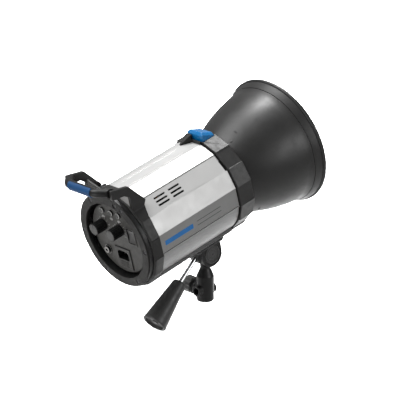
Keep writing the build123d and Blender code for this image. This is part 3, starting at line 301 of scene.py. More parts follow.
def reflector_paint():
    """Matt wrinkle-free black enamel on spun metal."""
    surface = Surface("reflector_paint", (0.0140, 0.0138, 0.0135), 0.40, Specular_IOR_Level=0.45)
    tilt = atan2(FORWARD.z, FORWARD.y)
    stations = surface.mapped((0.03, 1, 0.03), (-tilt, 0, 0))
    surface.tint(surface.spread(surface.noise(26, 6), 0, 1), (0.012, 0.012, 0.0118), 0.7)
    surface.roughen(surface.noise(60, 6), 0.05)
    surface.bump(surface.noise(420, 2, stations), 0.02, 0.35)
    surface.bump(surface.noise(2600, 3), 0.03, 0.5)
    return surface.worn_edges((0.16, 0.16, 0.165), amount=0.35)


def reflector_lining():
    """Bright anodised inside with a soft hammered pebble."""
    surface = Surface("reflector_lining", (0.80, 0.80, 0.79), 0.24, 1.0)
    surface.tint(surface.spread(surface.noise(40, 5), 0, 1), (0.68, 0.68, 0.68), 0.4)
    surface.bump(surface.cells(330), 0.35, 0.35)
    return surface.roughen(surface.noise(120, 5), 0.05)


def glass(name, color, rough, transmission):
    """Blown glass, slightly uneven."""
    surface = Surface(name, color, rough, IOR=1.47, Transmission_Weight=transmission)
    surface.roughen(surface.noise(200, 5), min(rough * 0.5, 0.08))
    return surface.bump(surface.noise(300, 2), 0.01, 0.2)


MATERIALS = make_materials()


# ------------------------------------------------------------ pieces
def show(name, bm, matrix, body, material, replaces=(), angle=35.0):
    """Turns a bmesh in local millimetres into a piece that rides on a body."""
    bmesh.ops.remove_doubles(bm, verts=bm.verts, dist=0.002 if matrix.to_scale().x < 0.5 else 1e-6)
    bmesh.ops.recalc_face_normals(bm, faces=bm.faces)
    mesh = bpy.data.meshes.new(name)
    bm.to_mesh(mesh)
    bm.free()
    mesh.transform(matrix)
    mesh.shade_smooth()
    mesh.set_sharp_from_angle(angle=radians(angle))
    mesh.materials.append(MATERIALS[material])
    piece = bpy.data.objects.new(name, mesh)
    bpy.context.scene.collection.objects.link(piece)
    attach(piece, body)
    if replaces:
        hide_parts(*replaces)
    return piece


FLAT = cos(radians(0.4))             # faces that turn less than this are one flat face
WELD = 2e-6                          # CAD vertices closer than this, in metres, are one


def soften(piece, width, segments=2, angle=30.0):
    """Rounds the piece's sharp edges."""
    bevel = piece.modifiers.new("edges", "BEVEL")
    bevel.width = width * MM
    bevel.segments = segments
    bevel.limit_method = "ANGLE"
    bevel.angle_limit = radians(angle)
    bevel.use_clamp_overlap = False
    bevel.miter_outer = "MITER_ARC"
    return piece


def even(piece):
    """Lets the large flat faces decide the shading."""
    weighted = piece.modifiers.new("normals", "WEIGHTED_NORMAL")
    weighted.weight = 100
    weighted.keep_sharp = True
    return piece


def also(piece, material, chosen):
    """Gives another material to the faces whose centre and normal, in the head's frame, are chosen."""
    piece.data.materials.append(MATERIALS[material])
    to_head = HEAD_FRAME.inverted()
    turn = to_head.to_3x3().normalized()
    for face in piece.data.polygons:
        if chosen(to_head @ face.center, turn @ face.normal):
            face.material_index = len(piece.data.materials) - 1
    return piece


def flat_groups(bm):
    """Neighbouring coplanar faces, kept apart by seams."""
    bm.faces.index_update()
    seen, groups = set(), []
    for seed in bm.faces:
        if seed.index in seen:
            continue
        seen.add(seed.index)
        group, waiting = [seed], [seed]
        while waiting:
            for edge in waiting.pop().edges:
                for other in () if edge.seam or len(edge.link_faces) != 2 else edge.link_faces:
                    if other.index not in seen and other.normal.dot(seed.normal) > FLAT:
                        seen.add(other.index)
                        group.append(other)
                        waiting.append(other)
        groups.append(group)
    return groups


def parts_of(group):
    """Vertices and edges of some faces, in a fixed order."""
    return (list(dict.fromkeys(v for face in group for v in face.verts)),
            list(dict.fromkeys(e for face in group for e in face.edges)))


def has_no_hole(verts, edges, faces):
    """Euler's count for a patch of faces that is one disc."""
    return len(verts) - len(edges) + len(faces) == 1


def merge_flat(bm):
    """Joins coplanar faces into larger ones. A flat face with a hole is first quartered."""
    for group in flat_groups(bm):
        verts, edges = parts_of(group)
        if has_no_hole(verts, edges, group):
            continue
        centre = sum((v.co for v in verts), Vector()) / len(verts)
        normal = group[0].normal.copy()
        across = normal.orthogonal().normalized()
        geometry = verts + edges + group
        for way in (across, normal.cross(across)):
            cut = bmesh.ops.bisect_plane(bm, geom=geometry, plane_co=centre, plane_no=way, dist=1e-7)
            geometry = cut["geom"]
            for item in cut["geom_cut"]:
                if isinstance(item, bmesh.types.BMEdge):
                    item.seam = True
    inner = []
    for group in flat_groups(bm):
        verts, edges = parts_of(group)
        if has_no_hole(verts, edges, group):
            own = {face.index for face in group}
            inner += [e for e in edges
                      if len(e.link_faces) == 2 and all(face.index in own for face in e.link_faces)]
    bmesh.ops.dissolve_edges(bm, edges=inner, use_verts=False)


def show_for(node, bm, material, angle):
    """A bmesh in metres that takes the place of a CAD node."""
    return show(f"{node}.shape", bm, Matrix.Identity(4), BODY_OF[node], material, [node],
                angle)


def refine(node, material, width=0.3, segments=2, angle=30.0):
    """The CAD node's own shape, with edges rounded to width unless that is 0."""
    bm = bmesh.new()
    bm.from_mesh(frame["nodes"][node].data)
    bmesh.ops.remove_doubles(bm, verts=bm.verts, dist=WELD)
    merge_flat(bm)
    piece = show_for(node, bm, material, angle)
    return even(soften(piece, width, segments, angle) if width else piece)


def cast(node, material, voxel=0.4, rounds=10):
    """The CAD node's shape as a casting, with its inner corners filled and outer ones rounded."""
    source = frame["nodes"][node].data.copy()
    rough = bpy.data.objects.new(f"{node}.rough", source)
    bpy.context.scene.collection.objects.link(rough)
    weld = rough.modifiers.new("weld", "WELD")
    weld.merge_threshold = WELD
    remesh = rough.modifiers.new("remesh", "REMESH")
    remesh.mode = "VOXEL"
    remesh.voxel_size = voxel * MM
    smooth = rough.modifiers.new("smooth", "SMOOTH")
    smooth.factor = 0.5
    smooth.iterations = rounds
    bpy.context.view_layer.update()
    evaluated = rough.evaluated_get(bpy.context.evaluated_depsgraph_get())
    bm = bmesh.new()
    bm.from_mesh(evaluated.to_mesh())
    evaluated.to_mesh_clear()
    bpy.data.objects.remove(rough)
    return show_for(node, bm, material, 60)


def finish_node(node, material):
    """A CAD node whose own shape shows: only its finish is set."""
    piece = frame["nodes"][node]
    piece.data.materials.clear()
    piece.data.materials.append(MATERIALS[material])


# ------------------------------------------------------------ bmesh shapes, local millimetres
def bridge(bm, rings):
    """Faces between each ring of vertices and the next."""
    for a, b in zip(rings, rings[1:]):
        for k in range(len(a)):
            n = (k + 1) % len(a)
            bm.faces.new((a[k], a[n], b[n], b[k]))


def lathe(bm, profile, axis=1, origin=(0, 0, 0), steps=96, closed=False, shape=None):
    """Turns (along, radius) points round an axis through origin. shape may change a radius by place."""
    first, second = [(1, 2), (2, 0), (0, 1)][axis]
    rings = []
    for along, radius in profile:
        ring = []
        for k in range(steps):
            angle = 2 * pi * k / steps
            r = shape(along, angle, radius) if shape else radius
            point = [0.0, 0.0, 0.0]
            point[axis] = along
            point[first] = r * cos(angle)
            point[second] = r * sin(angle)
            ring.append(bm.verts.new([p + o for p, o in zip(point, origin)]))
        rings.append(ring)
    bridge(bm, rings + rings[:1] if closed else rings)
    return bm


def arc(centre, radius, start, end, steps=8):
    """Points of an arc as (along, radius) pairs; angles in degrees."""
    spots = [radians(start + (end - start) * i / steps) for i in range(steps + 1)]
    return [(centre[0] + radius * cos(a), centre[1] + radius * sin(a)) for a in spots]


def through(a, b, c, steps=24):
    """Points of the circle arc from a to c through b."""
    d = 2 * (a[0] * (b[1] - c[1]) + b[0] * (c[1] - a[1]) + c[0] * (a[1] - b[1]))
    squares = [p[0] ** 2 + p[1] ** 2 for p in (a, b, c)]
    x = (squares[0] * (b[1] - c[1]) + squares[1] * (c[1] - a[1]) + squares[2] * (a[1] - b[1])) / d
    y = (squares[0] * (c[0] - b[0]) + squares[1] * (a[0] - c[0]) + squares[2] * (b[0] - a[0])) / d
    radius = sqrt((a[0] - x) ** 2 + (a[1] - y) ** 2)
    start, end = atan2(a[1] - y, a[0] - x), atan2(c[1] - y, c[0] - x)
    if abs(end - start) > pi:
        end -= 2 * pi * (1 if end > start else -1)
    return [(x + radius * cos(start + (end - start) * i / steps),
             y + radius * sin(start + (end - start) * i / steps)) for i in range(steps + 1)]


def prism(bm, outline, origin, right, up, depth):
    """Flat outline in the plane of right and up, thickened along their normal, away from the eye."""
    right, up = Vector(right), Vector(up)
    away = up.cross(right).normalized() * depth
    origin = Vector(origin)
    front = [bm.verts.new(origin + right * a + up * b) for a, b in outline]
    back = [bm.verts.new(origin + right * a + up * b + away) for a, b in outline]
    count = len(outline)
    bm.faces.new(front)
    bm.faces.new(list(reversed(back)))
    for k in range(count):
        n = (k + 1) % count
        bm.faces.new((front[k], back[k], back[n], front[n]))
    return bm


def oval_outline(x, y, across, high, steps=32):
    """Closed oval round (x, y) with the given half width and half height."""
    turns = [2 * pi * k / steps for k in range(steps)]
    return [(x + across * cos(a), y + high * sin(a)) for a in turns]


def bar_outline(x, y, width, height, turn=0.0):
    """Rectangle round (x, y), turned by turn degrees."""
    c, s = cos(radians(turn)), sin(radians(turn))
    corners = [(i * width / 2, j * height / 2) for i, j in ((-1, -1), (1, -1), (1, 1), (-1, 1))]
    return [(x + a * c - b * s, y + a * s + b * c) for a, b in corners]


def tapered_bead(bm, path, radius, steps=10):
    """Round bead along a path of points, half as thick at its two ends as in the middle."""
    points = [Vector(p) for p in path]
    normal = None
    rings = []
    for i, p in enumerate(points):
        ahead = points[min(i + 1, len(points) - 1)] - points[max(i - 1, 0)]
        ahead.normalize()
        if normal is None:
            normal = ahead.orthogonal().normalized()
        normal = (normal - ahead * normal.dot(ahead)).normalized()
        side = ahead.cross(normal)
        r = radius * (0.5 + 0.5 * sin(pi * i / (len(points) - 1)))
        rings.append([bm.verts.new(p + normal * a + side * b) for a, b in oval_outline(0, 0, r, r, steps)])
    bridge(bm, rings)
    bm.faces.new(rings[0])
    bm.faces.new(list(reversed(rings[-1])))
    return bm


def lettering(bm, text, x, y, size, s):
    """Plain generic figures, flat on the panel at station s, with a little thickness."""
    curve = bpy.data.curves.new("figures", "FONT")
    curve.body = text
    curve.size = size
    curve.align_x = "CENTER"
    curve.align_y = "CENTER"
    curve.extrude = 0.03
    holder = bpy.data.objects.new("figures", curve)
    bpy.context.scene.collection.objects.link(holder)
    bpy.context.view_layer.update()
    mesh = bpy.data.meshes.new_from_object(holder.evaluated_get(bpy.context.evaluated_depsgraph_get()))
    mesh.transform(Matrix(((1, 0, 0, x), (0, 0, -1, s), (0, 1, 0, y), (0, 0, 0, 1))))
    bm.from_mesh(mesh)
    bpy.data.objects.remove(holder)
    bpy.data.meshes.remove(mesh)
    return bm


# ============================================================ reflector
STEP = (281.5, 83.8)                 # crease between the bell and its flared lip
DISH_WALL = 1.2
BELL = ((186.0, 52.4), (229.0, 71.8), (270.0, 81.3))
NECK = [(184.8, 48.5), (184.8, 50.0), (185.4, 51.0)]
GROOVE = [(292.0, 87.25), (292.3, 86.9), (292.9, 86.9), (293.2, 87.2)]
RIM_INSIDE = [(297.6, 86.0), (296.4, 85.4), (290.0, 85.2), (282.4, 82.2)]
THIRDS = (0, 120, 240)               # rivets and vents repeat three times round
RIVETS = ((191.0, 62.0), (197.5, 63.5))   # station, and degrees round the neck
RIVET_RADIUS, RIVET_HEIGHT = 1.9, 0.55
VENT = (209.5, 68.5)                 # station, and degrees round the bell
# each vent is a black oval of this size, painted as the shade of a hole
VENT_SLOT = (2.4, 0.85)              # half lengths, round the bell and along it
VENT_LIP = (2.6, 1.1)
LIP_BEAD = 0.42


def bell_profile():
    """Outside of the bell from neck to rim as (station, radius)."""
    bell = through(*BELL, steps=40)
    turn = through(BELL[2], (276.5, 82.3), (STEP[0] - 0.5, STEP[1] - 0.15), 8)
    crease = [(STEP[0] + s, STEP[1] + r) for s, r in ((-0.1, -0.55), (0.4, -0.5), (0.7, 0.45))]
    lip = through((STEP[0] + 1.0, STEP[1] + 0.6), (286.8, 85.95), (291.6, 87.5), 8)
    bead = arc((295.6, 87.4), 2.5, 190, -20, 16)
    return bell + turn + crease + lip + GROOVE + bead


def make_reflector():
    """Spun bell with a bright lining."""
    outside = bell_profile()
    inner_bell = [(s + 0.4, r - DISH_WALL) for s, r in reversed(through(*BELL, steps=40))]
    inside = RIM_INSIDE + inner_bell + [(BELL[0][0], NECK[0][1])]
    show("reflector.shell", lathe(bmesh.new(), NECK + outside + inside, steps=192, closed=True),
         HEAD_FRAME, "reflector_body", "reflector_paint", ["reflector"], 28)
    lining = [(s, r - 0.12) for s, r in inside[2:-1]]
    back = [(s, r + 0.06) for s, r in reversed(lining)]
    show("reflector.lining", lathe(bmesh.new(), lining + back, steps=192, closed=True),
         HEAD_FRAME, "reflector_body", "reflector_lining", (), 28)


def on_bell(station, angle, lift=0.0):
    """A point on the bell's outside, and its directions: outward, along the bell and around it."""
    outline = through(*BELL, steps=40)
    k = min(range(len(outline) - 1), key=lambda i: abs(outline[i][0] - station))
    (s0, r0), (s1, r1) = outline[k], outline[k + 1]
    radius = r0 + (r1 - r0) * (station - s0) / (s1 - s0)
    slope = Vector((s1 - s0, r1 - r0)).normalized()
    around = Vector((-sin(radians(angle)), 0, cos(radians(angle))))
    radial = Vector((cos(radians(angle)), 0, sin(radians(angle))))
    along = Vector((0, 1, 0)) * slope.x + radial * slope.y
    outward = radial * slope.x - Vector((0, 1, 0)) * slope.y
    return radial * radius + Vector((0, station, 0)) + outward * lift, outward, along, around


def stack(bm, rings):
    """A solid of bridged rings, closed at both ends."""
    bridge(bm, rings)
    bm.faces.new(rings[-1])
    bm.faces.new(list(reversed(rings[0])))
    return bm


def dome(bm, centre, normal, radius, height, rings=5, steps=20, depth=0.4):
    """Low rivet head on a surface."""
    normal = Vector(normal).normalized()
    right = normal.orthogonal().normalized()
    up = normal.cross(right)
    loops = []
    for i in range(rings + 1):
        a = 0.5 * pi * i / rings
        r, h = radius * cos(a), height * sin(a)
        if i == rings:
            r = radius * 0.02
        loops.append([bm.verts.new(Vector(centre) + normal * h + (right * cos(t) + up * sin(t)) * r)
                      for t in (2 * pi * k / steps for k in range(steps))])
    base = [bm.verts.new(v.co - normal * depth) for v in loops[0]]
    return stack(bm, [base] + loops)


def make_reflector_details():
    """Rivets of the bayonet claws, and small vents with a raised lip; each vent is a black oval laid on the bell
    as painted shade, with no hole under it.
    """
    rivets = bmesh.new()
    for turn in THIRDS:
        for station, angle in RIVETS:
            place, outward, _, _ = on_bell(station, angle + turn, -0.1)
            dome(rivets, place, outward, RIVET_RADIUS, RIVET_HEIGHT)
    show("reflector.rivets", rivets, HEAD_FRAME, "reflector_body", "reflector_paint")
    lips, painted_vent_shade = bmesh.new(), bmesh.new()
    for turn in THIRDS:
        place, outward, along, around = on_bell(VENT[0], VENT[1] + turn)
        path = [place + around * (VENT_LIP[0] * a) + along * (VENT_LIP[1] * b)
                for a, b in arc((0, 0), 1, -20, 200, 16)]
        tapered_bead(lips, path, LIP_BEAD)
        # painted shade: a black oval on the bell stands in for the dark vent hole
        prism(painted_vent_shade, oval_outline(0, 0, *VENT_SLOT, 28), place + outward * 0.05, around, along, 0.3)
    show("reflector.vent_lips", lips, HEAD_FRAME, "reflector_body", "reflector_paint")
    show("reflector.vent_painted_shade", painted_vent_shade, HEAD_FRAME, "reflector_body", "seal_rubber")


# ============================================================ control end
LABEL_LIFT = 0.06                    # printed film stands this far off its surface
ACROSS, ALONG, UP = (1, 0, 0), (0, 1, 0), (0, 0, 1)
TICKS = (9.4, 10.8)                  # inner and outer radius of the dial ticks
TICK_WIDTH = 0.28
TICK_COUNT = 11
FIGURE_RADIUS = 12.4
FIGURE_SIZE = 2.1
DIAL_START, DIAL_TURN = 225, 270     # degrees; the scale runs clockwise
ROCKER_MARK_U = 5.6                  # bar above and ring below the rocker's middle
LENS_XS = (-20.8, -4.9, 9.4)
LENS_HALF = (2.95, 1.85)
LENS_HEIGHT = 0.55
# a key's rim is coloured white as a painted highlight
KEY_HIGHLIGHT_RIM, KEY_FACE = 1.9, 2.5         # how far a key's bright rim and its flat end stand out of the panel
PIN_XS = (-6.5, 0, 6.5)              # contact pins of the mains inlet


def print_bar(bm, outline, s, depth=LABEL_LIFT):
    """A flat shape on a face that looks backwards, at station s."""
    prism(bm, outline, (0, s, 0), ACROSS, UP, depth)


def ring_marks(bm, x, u, s):
    """Dial ticks round a knob."""
    inner, outer = TICKS
    middle = (inner + outer) / 2
    for i in range(TICK_COUNT):
        angle = DIAL_START - DIAL_TURN * i / (TICK_COUNT - 1)
        spot = (x + middle * cos(radians(angle)), u + middle * sin(radians(angle)))
        print_bar(bm, bar_outline(*spot, outer - inner, TICK_WIDTH, angle), s)


def make_panel_print():
    """Generic dial figures and ticks. The two topmost figures would meet the lenses, so they are left out."""
    face = PANEL_S - LABEL_LIFT
    bm = bmesh.new()
    for place in KNOBS.values():
        ring_marks(bm, place.x, place.z, face)
        for i, figure in enumerate("12__56"):
            angle = radians(DIAL_START - DIAL_TURN * i / 5)
            if figure != "_":
                x, u = place.x + FIGURE_RADIUS * cos(angle), place.z + FIGURE_RADIUS * sin(angle)
                lettering(bm, figure, x, u, FIGURE_SIZE, face)
    show("control_panel.print", bm, HEAD_FRAME, "head", "print_white")


def make_rocker_print():
    """A bar and a ring sunk in the rocker."""
    low, high = head_box("power_rocker")
    x, u = (low.x + high.x) / 2, (low.z + high.z) / 2
    bm = bmesh.new()
    face, depth = low.y + 1.25, 0.3
    print_bar(bm, bar_outline(x, u + ROCKER_MARK_U, 0.55, 3.0), face, depth)
    ring = oval_outline(x, u - ROCKER_MARK_U, 1.5, 1.5, 28)
    hole = oval_outline(x, u - ROCKER_MARK_U, 1.0, 1.0, 28)
    loops = [[bm.verts.new((a, s, b)) for a, b in loop] for loop, s in
             ((ring, face), (hole, face), (hole, face + depth), (ring, face + depth))]
    bridge(bm, loops + loops[:1])
    show("power_rocker.marks", bm, HEAD_FRAME, "power_key", "print_white")


def make_lenses():
    """Three domed oval lenses."""
    low, high = head_box("indicator_lenses")
    bm = bmesh.new()
    for x in LENS_XS:
        place = Vector((x, PANEL_S - 0.35, (low.z + high.z) / 2))
        loops = []
        for i in range(8):
            a = 0.5 * pi * i / 7
            grow, lift = max(cos(a), 0.02), LENS_HEIGHT * sin(a)
            outline = oval_outline(0, 0, LENS_HALF[0] * grow, LENS_HALF[1] * grow)
            loops.append([bm.verts.new(place + Vector((b, -lift, c))) for b, c in outline])
        base = [bm.verts.new(v.co + Vector((0, 1.2, 0))) for v in loops[0]]
        stack(bm, [base] + loops)
    show("indicator_lenses.domes", bm, HEAD_FRAME, "head", "lens", ["indicator_lenses"])


def on_inlet_pin(centre, _):
    """The three contact pins inside the mains socket."""
    low, high = head_box("mains_inlet")
    across, up = centre.x - (low.x + high.x) / 2, centre.z - (low.z + high.z) / 2 - 4.0
    return 13 < centre.y < 20 and abs(up) < 4 and any(abs(across - x) < 1 for x in PIN_XS)


def make_control_end():
    """Bezel, control panel and what is on it."""
    refine("rear_bezel", "bezel_grey", 0.45, 3)
    refine("bezel_screws", "dark_steel", 0.12)
    refine("slave_sensor", "dark_lens", 0.5, 3)
    finish_node("panel_dish", "black_plastic")
    finish_node("control_panel", "panel_grey")
    for node in ("test_button", "sound_button", "lamp_button"):
        # faces of a key's rounded rim get the white painted highlight; its flat end then turns grey
        key = also(refine(node, "black_plastic", 0), "key_rim_painted_highlight",
                   lambda centre, normal: centre.y < PANEL_S - KEY_HIGHLIGHT_RIM and normal.y < -0.2)
        also(key, "cap_grey", lambda centre, normal: centre.y < PANEL_S - KEY_FACE and normal.y < -0.99)
    for node in ("flash_knob", "lamp_knob"):
        refine(node, "black_plastic", 0.25, 2)
        refine(f"{node}_cap", "cap_grey", 0.2, 2)
    also(refine("sync_jack", "nickel", 0.15, 2), "black_plastic",
         lambda centre, normal: centre.y > PANEL_S - 1.0 or normal.y > -0.5)
    # painted shade: the socket's faces deeper than 1.3 mm are black, for the shade in its recess
    inlet = also(refine("mains_inlet", "panel_grey", 0.2), "black_plastic",
                 lambda centre, _: centre.y > PANEL_S - 1.3)
    also(inlet, "nickel", on_inlet_pin)
    refine("fuse_drawer", "panel_grey", 0.15)
    # painted shade: the frame's faces at and behind the panel face are black, for the shade in the rocker's pocket
    also(refine("rocker_frame", "panel_grey", 0.25), "black_plastic",
         lambda centre, _: centre.y > PANEL_S - 0.2)
    refine("power_rocker", "rocker_grey", 0.5, 3)
    make_lenses()
    make_panel_print()
    make_rocker_print()


# ============================================================ body
# box round the right gusset, whose rear faces get the painted highlight
GUSSET_LOW = Vector((10, 8.2, 52))   # across, along and up in the head's frame
GUSSET_HIGH = Vector((40.4, 9, 90))


def on_highlit_gusset(centre, normal):
    """Faces of the web between the right handle arm's root and the drum, seen from behind, that are coloured light
    grey as a painted highlight; the left one stays dark.
    """
    return normal.y < -0.9 and all(GUSSET_LOW[i] < centre[i] < GUSSET_HIGH[i] for i in range(3))


def make_body():
    """Shells, collar, handle and latch, and the front end inside the reflector."""
    refine("top_cover", "white_paint", 0.35, 3, 12)
    for side in ("right", "left"):
        refine(f"side_panel_{side}", "white_paint", 0, angle=12)
    refine("label_bands", "label_grey", 0.1)
    refine("edge_rails", "rail_silver", 0.35, 3)
    refine("lower_shell", "silver_panel", 0.3, 3)
    refine("front_seal", "seal_rubber", 0.3)
    # the right gusset of the dark housing is coloured light grey as a painted highlight
    also(refine("rear_housing", "dark_plastic", 0.5, 3, 15), "gusset_painted_highlight", on_highlit_gusset)
    refine("handle_bar", "black_plastic", 0.4, 3)
    refine("handle_grip", "blue_rubber", 0.8, 4)
    refine("front_collar", "collar_plastic", 0.6, 3, 15)
    refine("latch_ramp", "black_plastic", 0.5, 3)
    refine("latch_button", "blue_plastic", 0.7, 3)
    front = {"bayonet_ring": "steel", "lamp_plate": "silver_panel", "tube_socket": "ceramic",
             "lamp_holder": "ceramic", "reflector_neck": "steel"}
    for node, material in front.items():
        refine(node, material, 0.25, 2)
    refine("flash_tube", "frosted_glass", 0)
    refine("modelling_lamp", "clear_glass", 0)


BAR = (55.0, -1.5, 48.0, 6.4)        # station, height, length, width
RULE_S, RULE_US = 107.0, (-4.4, 1.4)
RULE_SIZE = (42.0, 0.7)


def make_trim():
    """Plain blue bar and thin dark rules on the right label band."""
    _, high = head_box("label_bands")
    bars, rules = bmesh.new(), bmesh.new()
    eye = (high.x + LABEL_LIFT, 0, 0)
    prism(bars, bar_outline(*BAR), eye, ALONG, UP, LABEL_LIFT)
    for u in RULE_US:
        prism(rules, bar_outline(RULE_S, u, *RULE_SIZE), eye, ALONG, UP, LABEL_LIFT)
    show("label_bands.bar", bars, HEAD_FRAME, "head", "print_blue")
    show("label_bands.rules", rules, HEAD_FRAME, "head", "print_dark")


def make_inside():
    """Finishes of the pieces inside the shell and the hinge, mostly hidden."""
    finishes = {"chassis_tray": "silver_panel", "capacitors": "capacitor_sleeve",
                "capacitor_clamp": "silver_panel", "board_posts": "steel", "power_board": "circuit_board",
                "trigger_transformer": "winding", "fan_frame": "black_plastic", "fan_rotor": "dark_plastic",
                "potentiometers": "steel", "control_board": "circuit_board", "pivot_bolt": "steel",
                "friction_washers": "seal_rubber"}
    for node, material in finishes.items():
        finish_node(node, material)


# ============================================================ bracket
LEVER = JOINTS["tilt_lever_twist"]
CAMERA_AZIMUTH, CAMERA_ELEVATION = radians(47.81), radians(18.0)
CAMERA_BACK = Vector((sin(CAMERA_AZIMUTH) * cos(CAMERA_ELEVATION),
                      -cos(CAMERA_AZIMUTH) * cos(CAMERA_ELEVATION), sin(CAMERA_ELEVATION)))
CAMERA_RIGHT = Vector((cos(CAMERA_AZIMUTH), sin(CAMERA_AZIMUTH), 0))
CAMERA_UP = CAMERA_BACK.cross(CAMERA_RIGHT)
LEVER_WAY = Vector(LEVER["axis"]).normalized()
GRIP_FRONT = (CAMERA_BACK - LEVER_WAY * CAMERA_BACK.dot(LEVER_WAY)).normalized()
LEVER_FRAME = frame_matrix(Vector(LEVER["pos_m"]), GRIP_FRONT, LEVER_WAY, GRIP_FRONT.cross(LEVER_WAY))
GRIP = (41.0, 108.0, 9.3, 16.8)      # start, end, radius at each
GRIP_LABEL = (57.0, 94.6)            # the sunk panel's ends
GRIP_LABEL_HALF = 4.6
GRIP_LABEL_TURN = 8.0                # degrees from the side that faces the camera
GRIP_PIP = 53.5
SUNK = 0.7
SEAT = 3.2                           # radius of the grip's bore
CHEEK_X = 14.0                       # inner face of the cheek covers


def smoothstep(low, high, value):
    """0 at low and 1 at high, with a soft start and end. low may be the larger."""
    t = min(1, max(0, (value - low) / (high - low)))
    return t * t * (3 - 2 * t)


def make_lever():
    """Chrome rod with a tapered grip."""
    start, end, r0, r1 = GRIP
    taper = (r1 - r0) / (end - start)

    def label_recess(along, angle, radius):
        """A shallow long panel sunk in the side of the grip, and a pip above it."""
        turn = -((degrees(angle) + 180) % 360 - 180) - GRIP_LABEL_TURN
        first, last = GRIP_LABEL
        inside = smoothstep(first, first + 0.6, along) * smoothstep(last, last - 0.6, along)
        width = degrees(GRIP_LABEL_HALF / radius)
        inside *= smoothstep(width + 1.6, width, abs(turn))
        pip = smoothstep(1.25, 0.8, sqrt((along - GRIP_PIP) ** 2 + (radians(turn) * radius) ** 2))
        return radius - SUNK * (inside + pip)

    stations = [start + 2.5 + (end - start - 5) * i / 110 for i in range(111)]
    side = [(along, r0 + (along - start) * taper) for along in stations]
    nose = [(start, SEAT), (start, r0 - 2.4)] + arc((start + 2.4, r0 - 2.3), 2.4, 180, 92, 8)[1:]
    tail = arc((end - 2.2, r1 - 2.3), 2.2, 88, 0, 8) + [(end - 0.4, r1 - 3.4), (end - 3.6, r1 - 4.1)]
    tail += [(end - 4.6, r1 - 5.0), (end - 4.6, SEAT)]
    bm = lathe(bmesh.new(), nose + side + tail, steps=180, closed=True, shape=label_recess)
    show("lever_grip.handle", bm, LEVER_FRAME, "tilt_lever", "grip_plastic",
         ["lever_grip"], 50)
    refine("lever_rod", "chrome", 0.3, 3)
    refine("lever_cap", "grip_plastic", 0.4, 3)


def make_hubs():
    """Cheek covers with turned rings and a dimple."""
    low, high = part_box("cheek_covers")
    pivot = Vector((0, 0, JOINTS["head_tilt"]["pos_m"][2] / MM))
    outer = high.x / MM
    radius = (high.z - low.z) / 2 / MM
    dimple = [(1.6, 1.0), (1.6, 3.0), (1.0, 3.4), (0.5, 4.2), (0.4, 6.6), (0.9, 7.0), (0.9, 7.5), (0.35, 7.9)]
    rim = [(0.1, 0.72), (0.6, 0.75), (0.6, 0.79), (0, 0.82), (0.05, 0.93), (0.5, 0.985), (1.1, 1)]
    ring = [(outer - sunk, r) for sunk, r in dimple] + [(outer - sunk, radius * part) for sunk, part in rim]
    ring += [(CHEEK_X + 0.05, radius), (CHEEK_X + 0.05, 1.0)]
    bm = bmesh.new()
    for side in (1, -1):
        lathe(bm, [(side * a, r) for a, r in ring], 0, pivot, 96, True)
    show("cheek_covers.turned", bm, ROW_FRAME, "head", "grip_plastic",
         ["cheek_covers"], 25)


def make_bracket():
    """Stand socket, yoke, hinge covers, stand knob and tilt lever."""
    cast("stand_socket", "casting", 0.45, 5)
    cast("yoke", "casting", 0.45, 5)
    make_hubs()
    refine("yoke_screws", "dark_steel", 0.15)
    refine("stand_knob", "grip_plastic", 0.4, 3)
    make_lever()


# ============================================================ stage, lights, camera
FOCAL = 166.5                        # millimetres, on a 36 mm sensor
CAMERA_AWAY = 2.331                  # metres from the head's origin
CAMERA_SHIFT = (0.10836, 0.051786)   # metres right and up, to frame it as in the photo
FLOOR_GAP = 0.35                     # metres under the part, which hangs on its stand
FLOOR_HALF = 12.0
WORLD_STRENGTH = 0.32


def make_stage():
    """Plain pale floor."""
    bm = bmesh.new()
    corners = ((-1, -1), (1, -1), (1, 1), (-1, 1))
    bm.faces.new([bm.verts.new((x * FLOOR_HALF, y * FLOOR_HALF, CAD_LOW.z - FLOOR_GAP)) for x, y in corners])
    mesh = bpy.data.meshes.new("floor")
    bm.to_mesh(mesh)
    bm.free()
    surface = Surface("floor", (0.52, 0.52, 0.52), 0.9, Specular_IOR_Level=0.1)
    surface.roughen(surface.noise(3, 3), 0.05)
    mesh.materials.append(surface.material)
    floor = bpy.data.objects.new("floor", mesh)
    bpy.context.scene.collection.objects.link(floor)


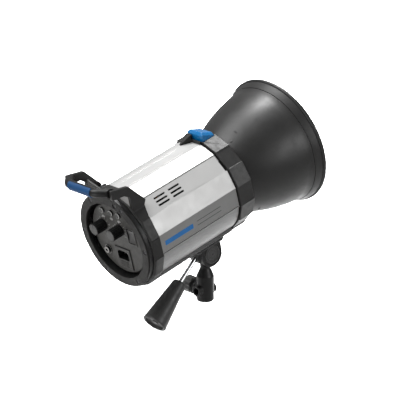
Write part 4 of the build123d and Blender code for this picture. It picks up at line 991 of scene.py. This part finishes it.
def area_light(name, place, target, size, power, spread=180):
    """Square soft box. Its louvres may narrow the beam to spread degrees."""
    lamp = bpy.data.lights.new(name, "AREA")
    lamp.shape = "SQUARE"
    lamp.size = size
    lamp.energy = power
    lamp.spread = radians(spread)
    holder = bpy.data.objects.new(name, lamp)
    bpy.context.scene.collection.objects.link(holder)
    holder.location = place
    holder.rotation_mode = "QUATERNION"
    holder.rotation_quaternion = (Vector(target) - Vector(place)).to_track_quat("-Z", "Y")


def make_light():
    """Soft boxes round the object, and one over the floor behind it that turns the background white."""
    world = bpy.data.worlds.new("studio")
    world.use_nodes = True
    world.node_tree.nodes["Background"].inputs["Color"].default_value = (1, 1, 1, 1)
    world.node_tree.nodes["Background"].inputs["Strength"].default_value = WORLD_STRENGTH
    bpy.context.scene.world = world
    middle = (CAD_LOW + CAD_HIGH) / 2
    up = Vector((0, 0, 1))
    back = Vector((CAMERA_BACK.x, CAMERA_BACK.y, 0)).normalized()
    area_light("key", middle - CAMERA_RIGHT * 1.1 + up * 1.5 + back * 0.2, middle, 1.4, 36)
    area_light("overhead", middle + up * 1.9 - back * 0.5, middle, 2.2, 7)
    area_light("side", middle + CAMERA_RIGHT * 1.5 + up * 0.5 + back * 0.9, middle, 0.9, 10)
    area_light("panel", middle - FORWARD * 1.6 - up * 0.05, middle, 0.7, 14)
    area_light("backdrop", middle - back * 2.3 + up * 2.6, middle - back * 2.3 - up, 2.6, 215, 60)


def make_camera():
    """The photo's view, from behind, above and to the right."""
    camera = bpy.data.objects.new("camera", bpy.data.cameras.new("camera"))
    bpy.context.scene.collection.objects.link(camera)
    bpy.context.scene.camera = camera
    camera.data.lens = FOCAL
    camera.data.sensor_width = 36.0
    right, up = CAMERA_SHIFT
    camera.location = HEAD + CAMERA_RIGHT * right + CAMERA_UP * up + CAMERA_BACK * CAMERA_AWAY
    camera.rotation_mode = "QUATERNION"
    camera.rotation_quaternion = (-CAMERA_BACK).to_track_quat("-Z", "Y")
    camera.data.clip_start, camera.data.clip_end = 0.05, 50
    bpy.context.scene.view_settings.view_transform = "Standard"


make_reflector()
make_reflector_details()
make_control_end()
make_body()
make_trim()
make_inside()
make_bracket()
make_stage()
make_light()
make_camera()
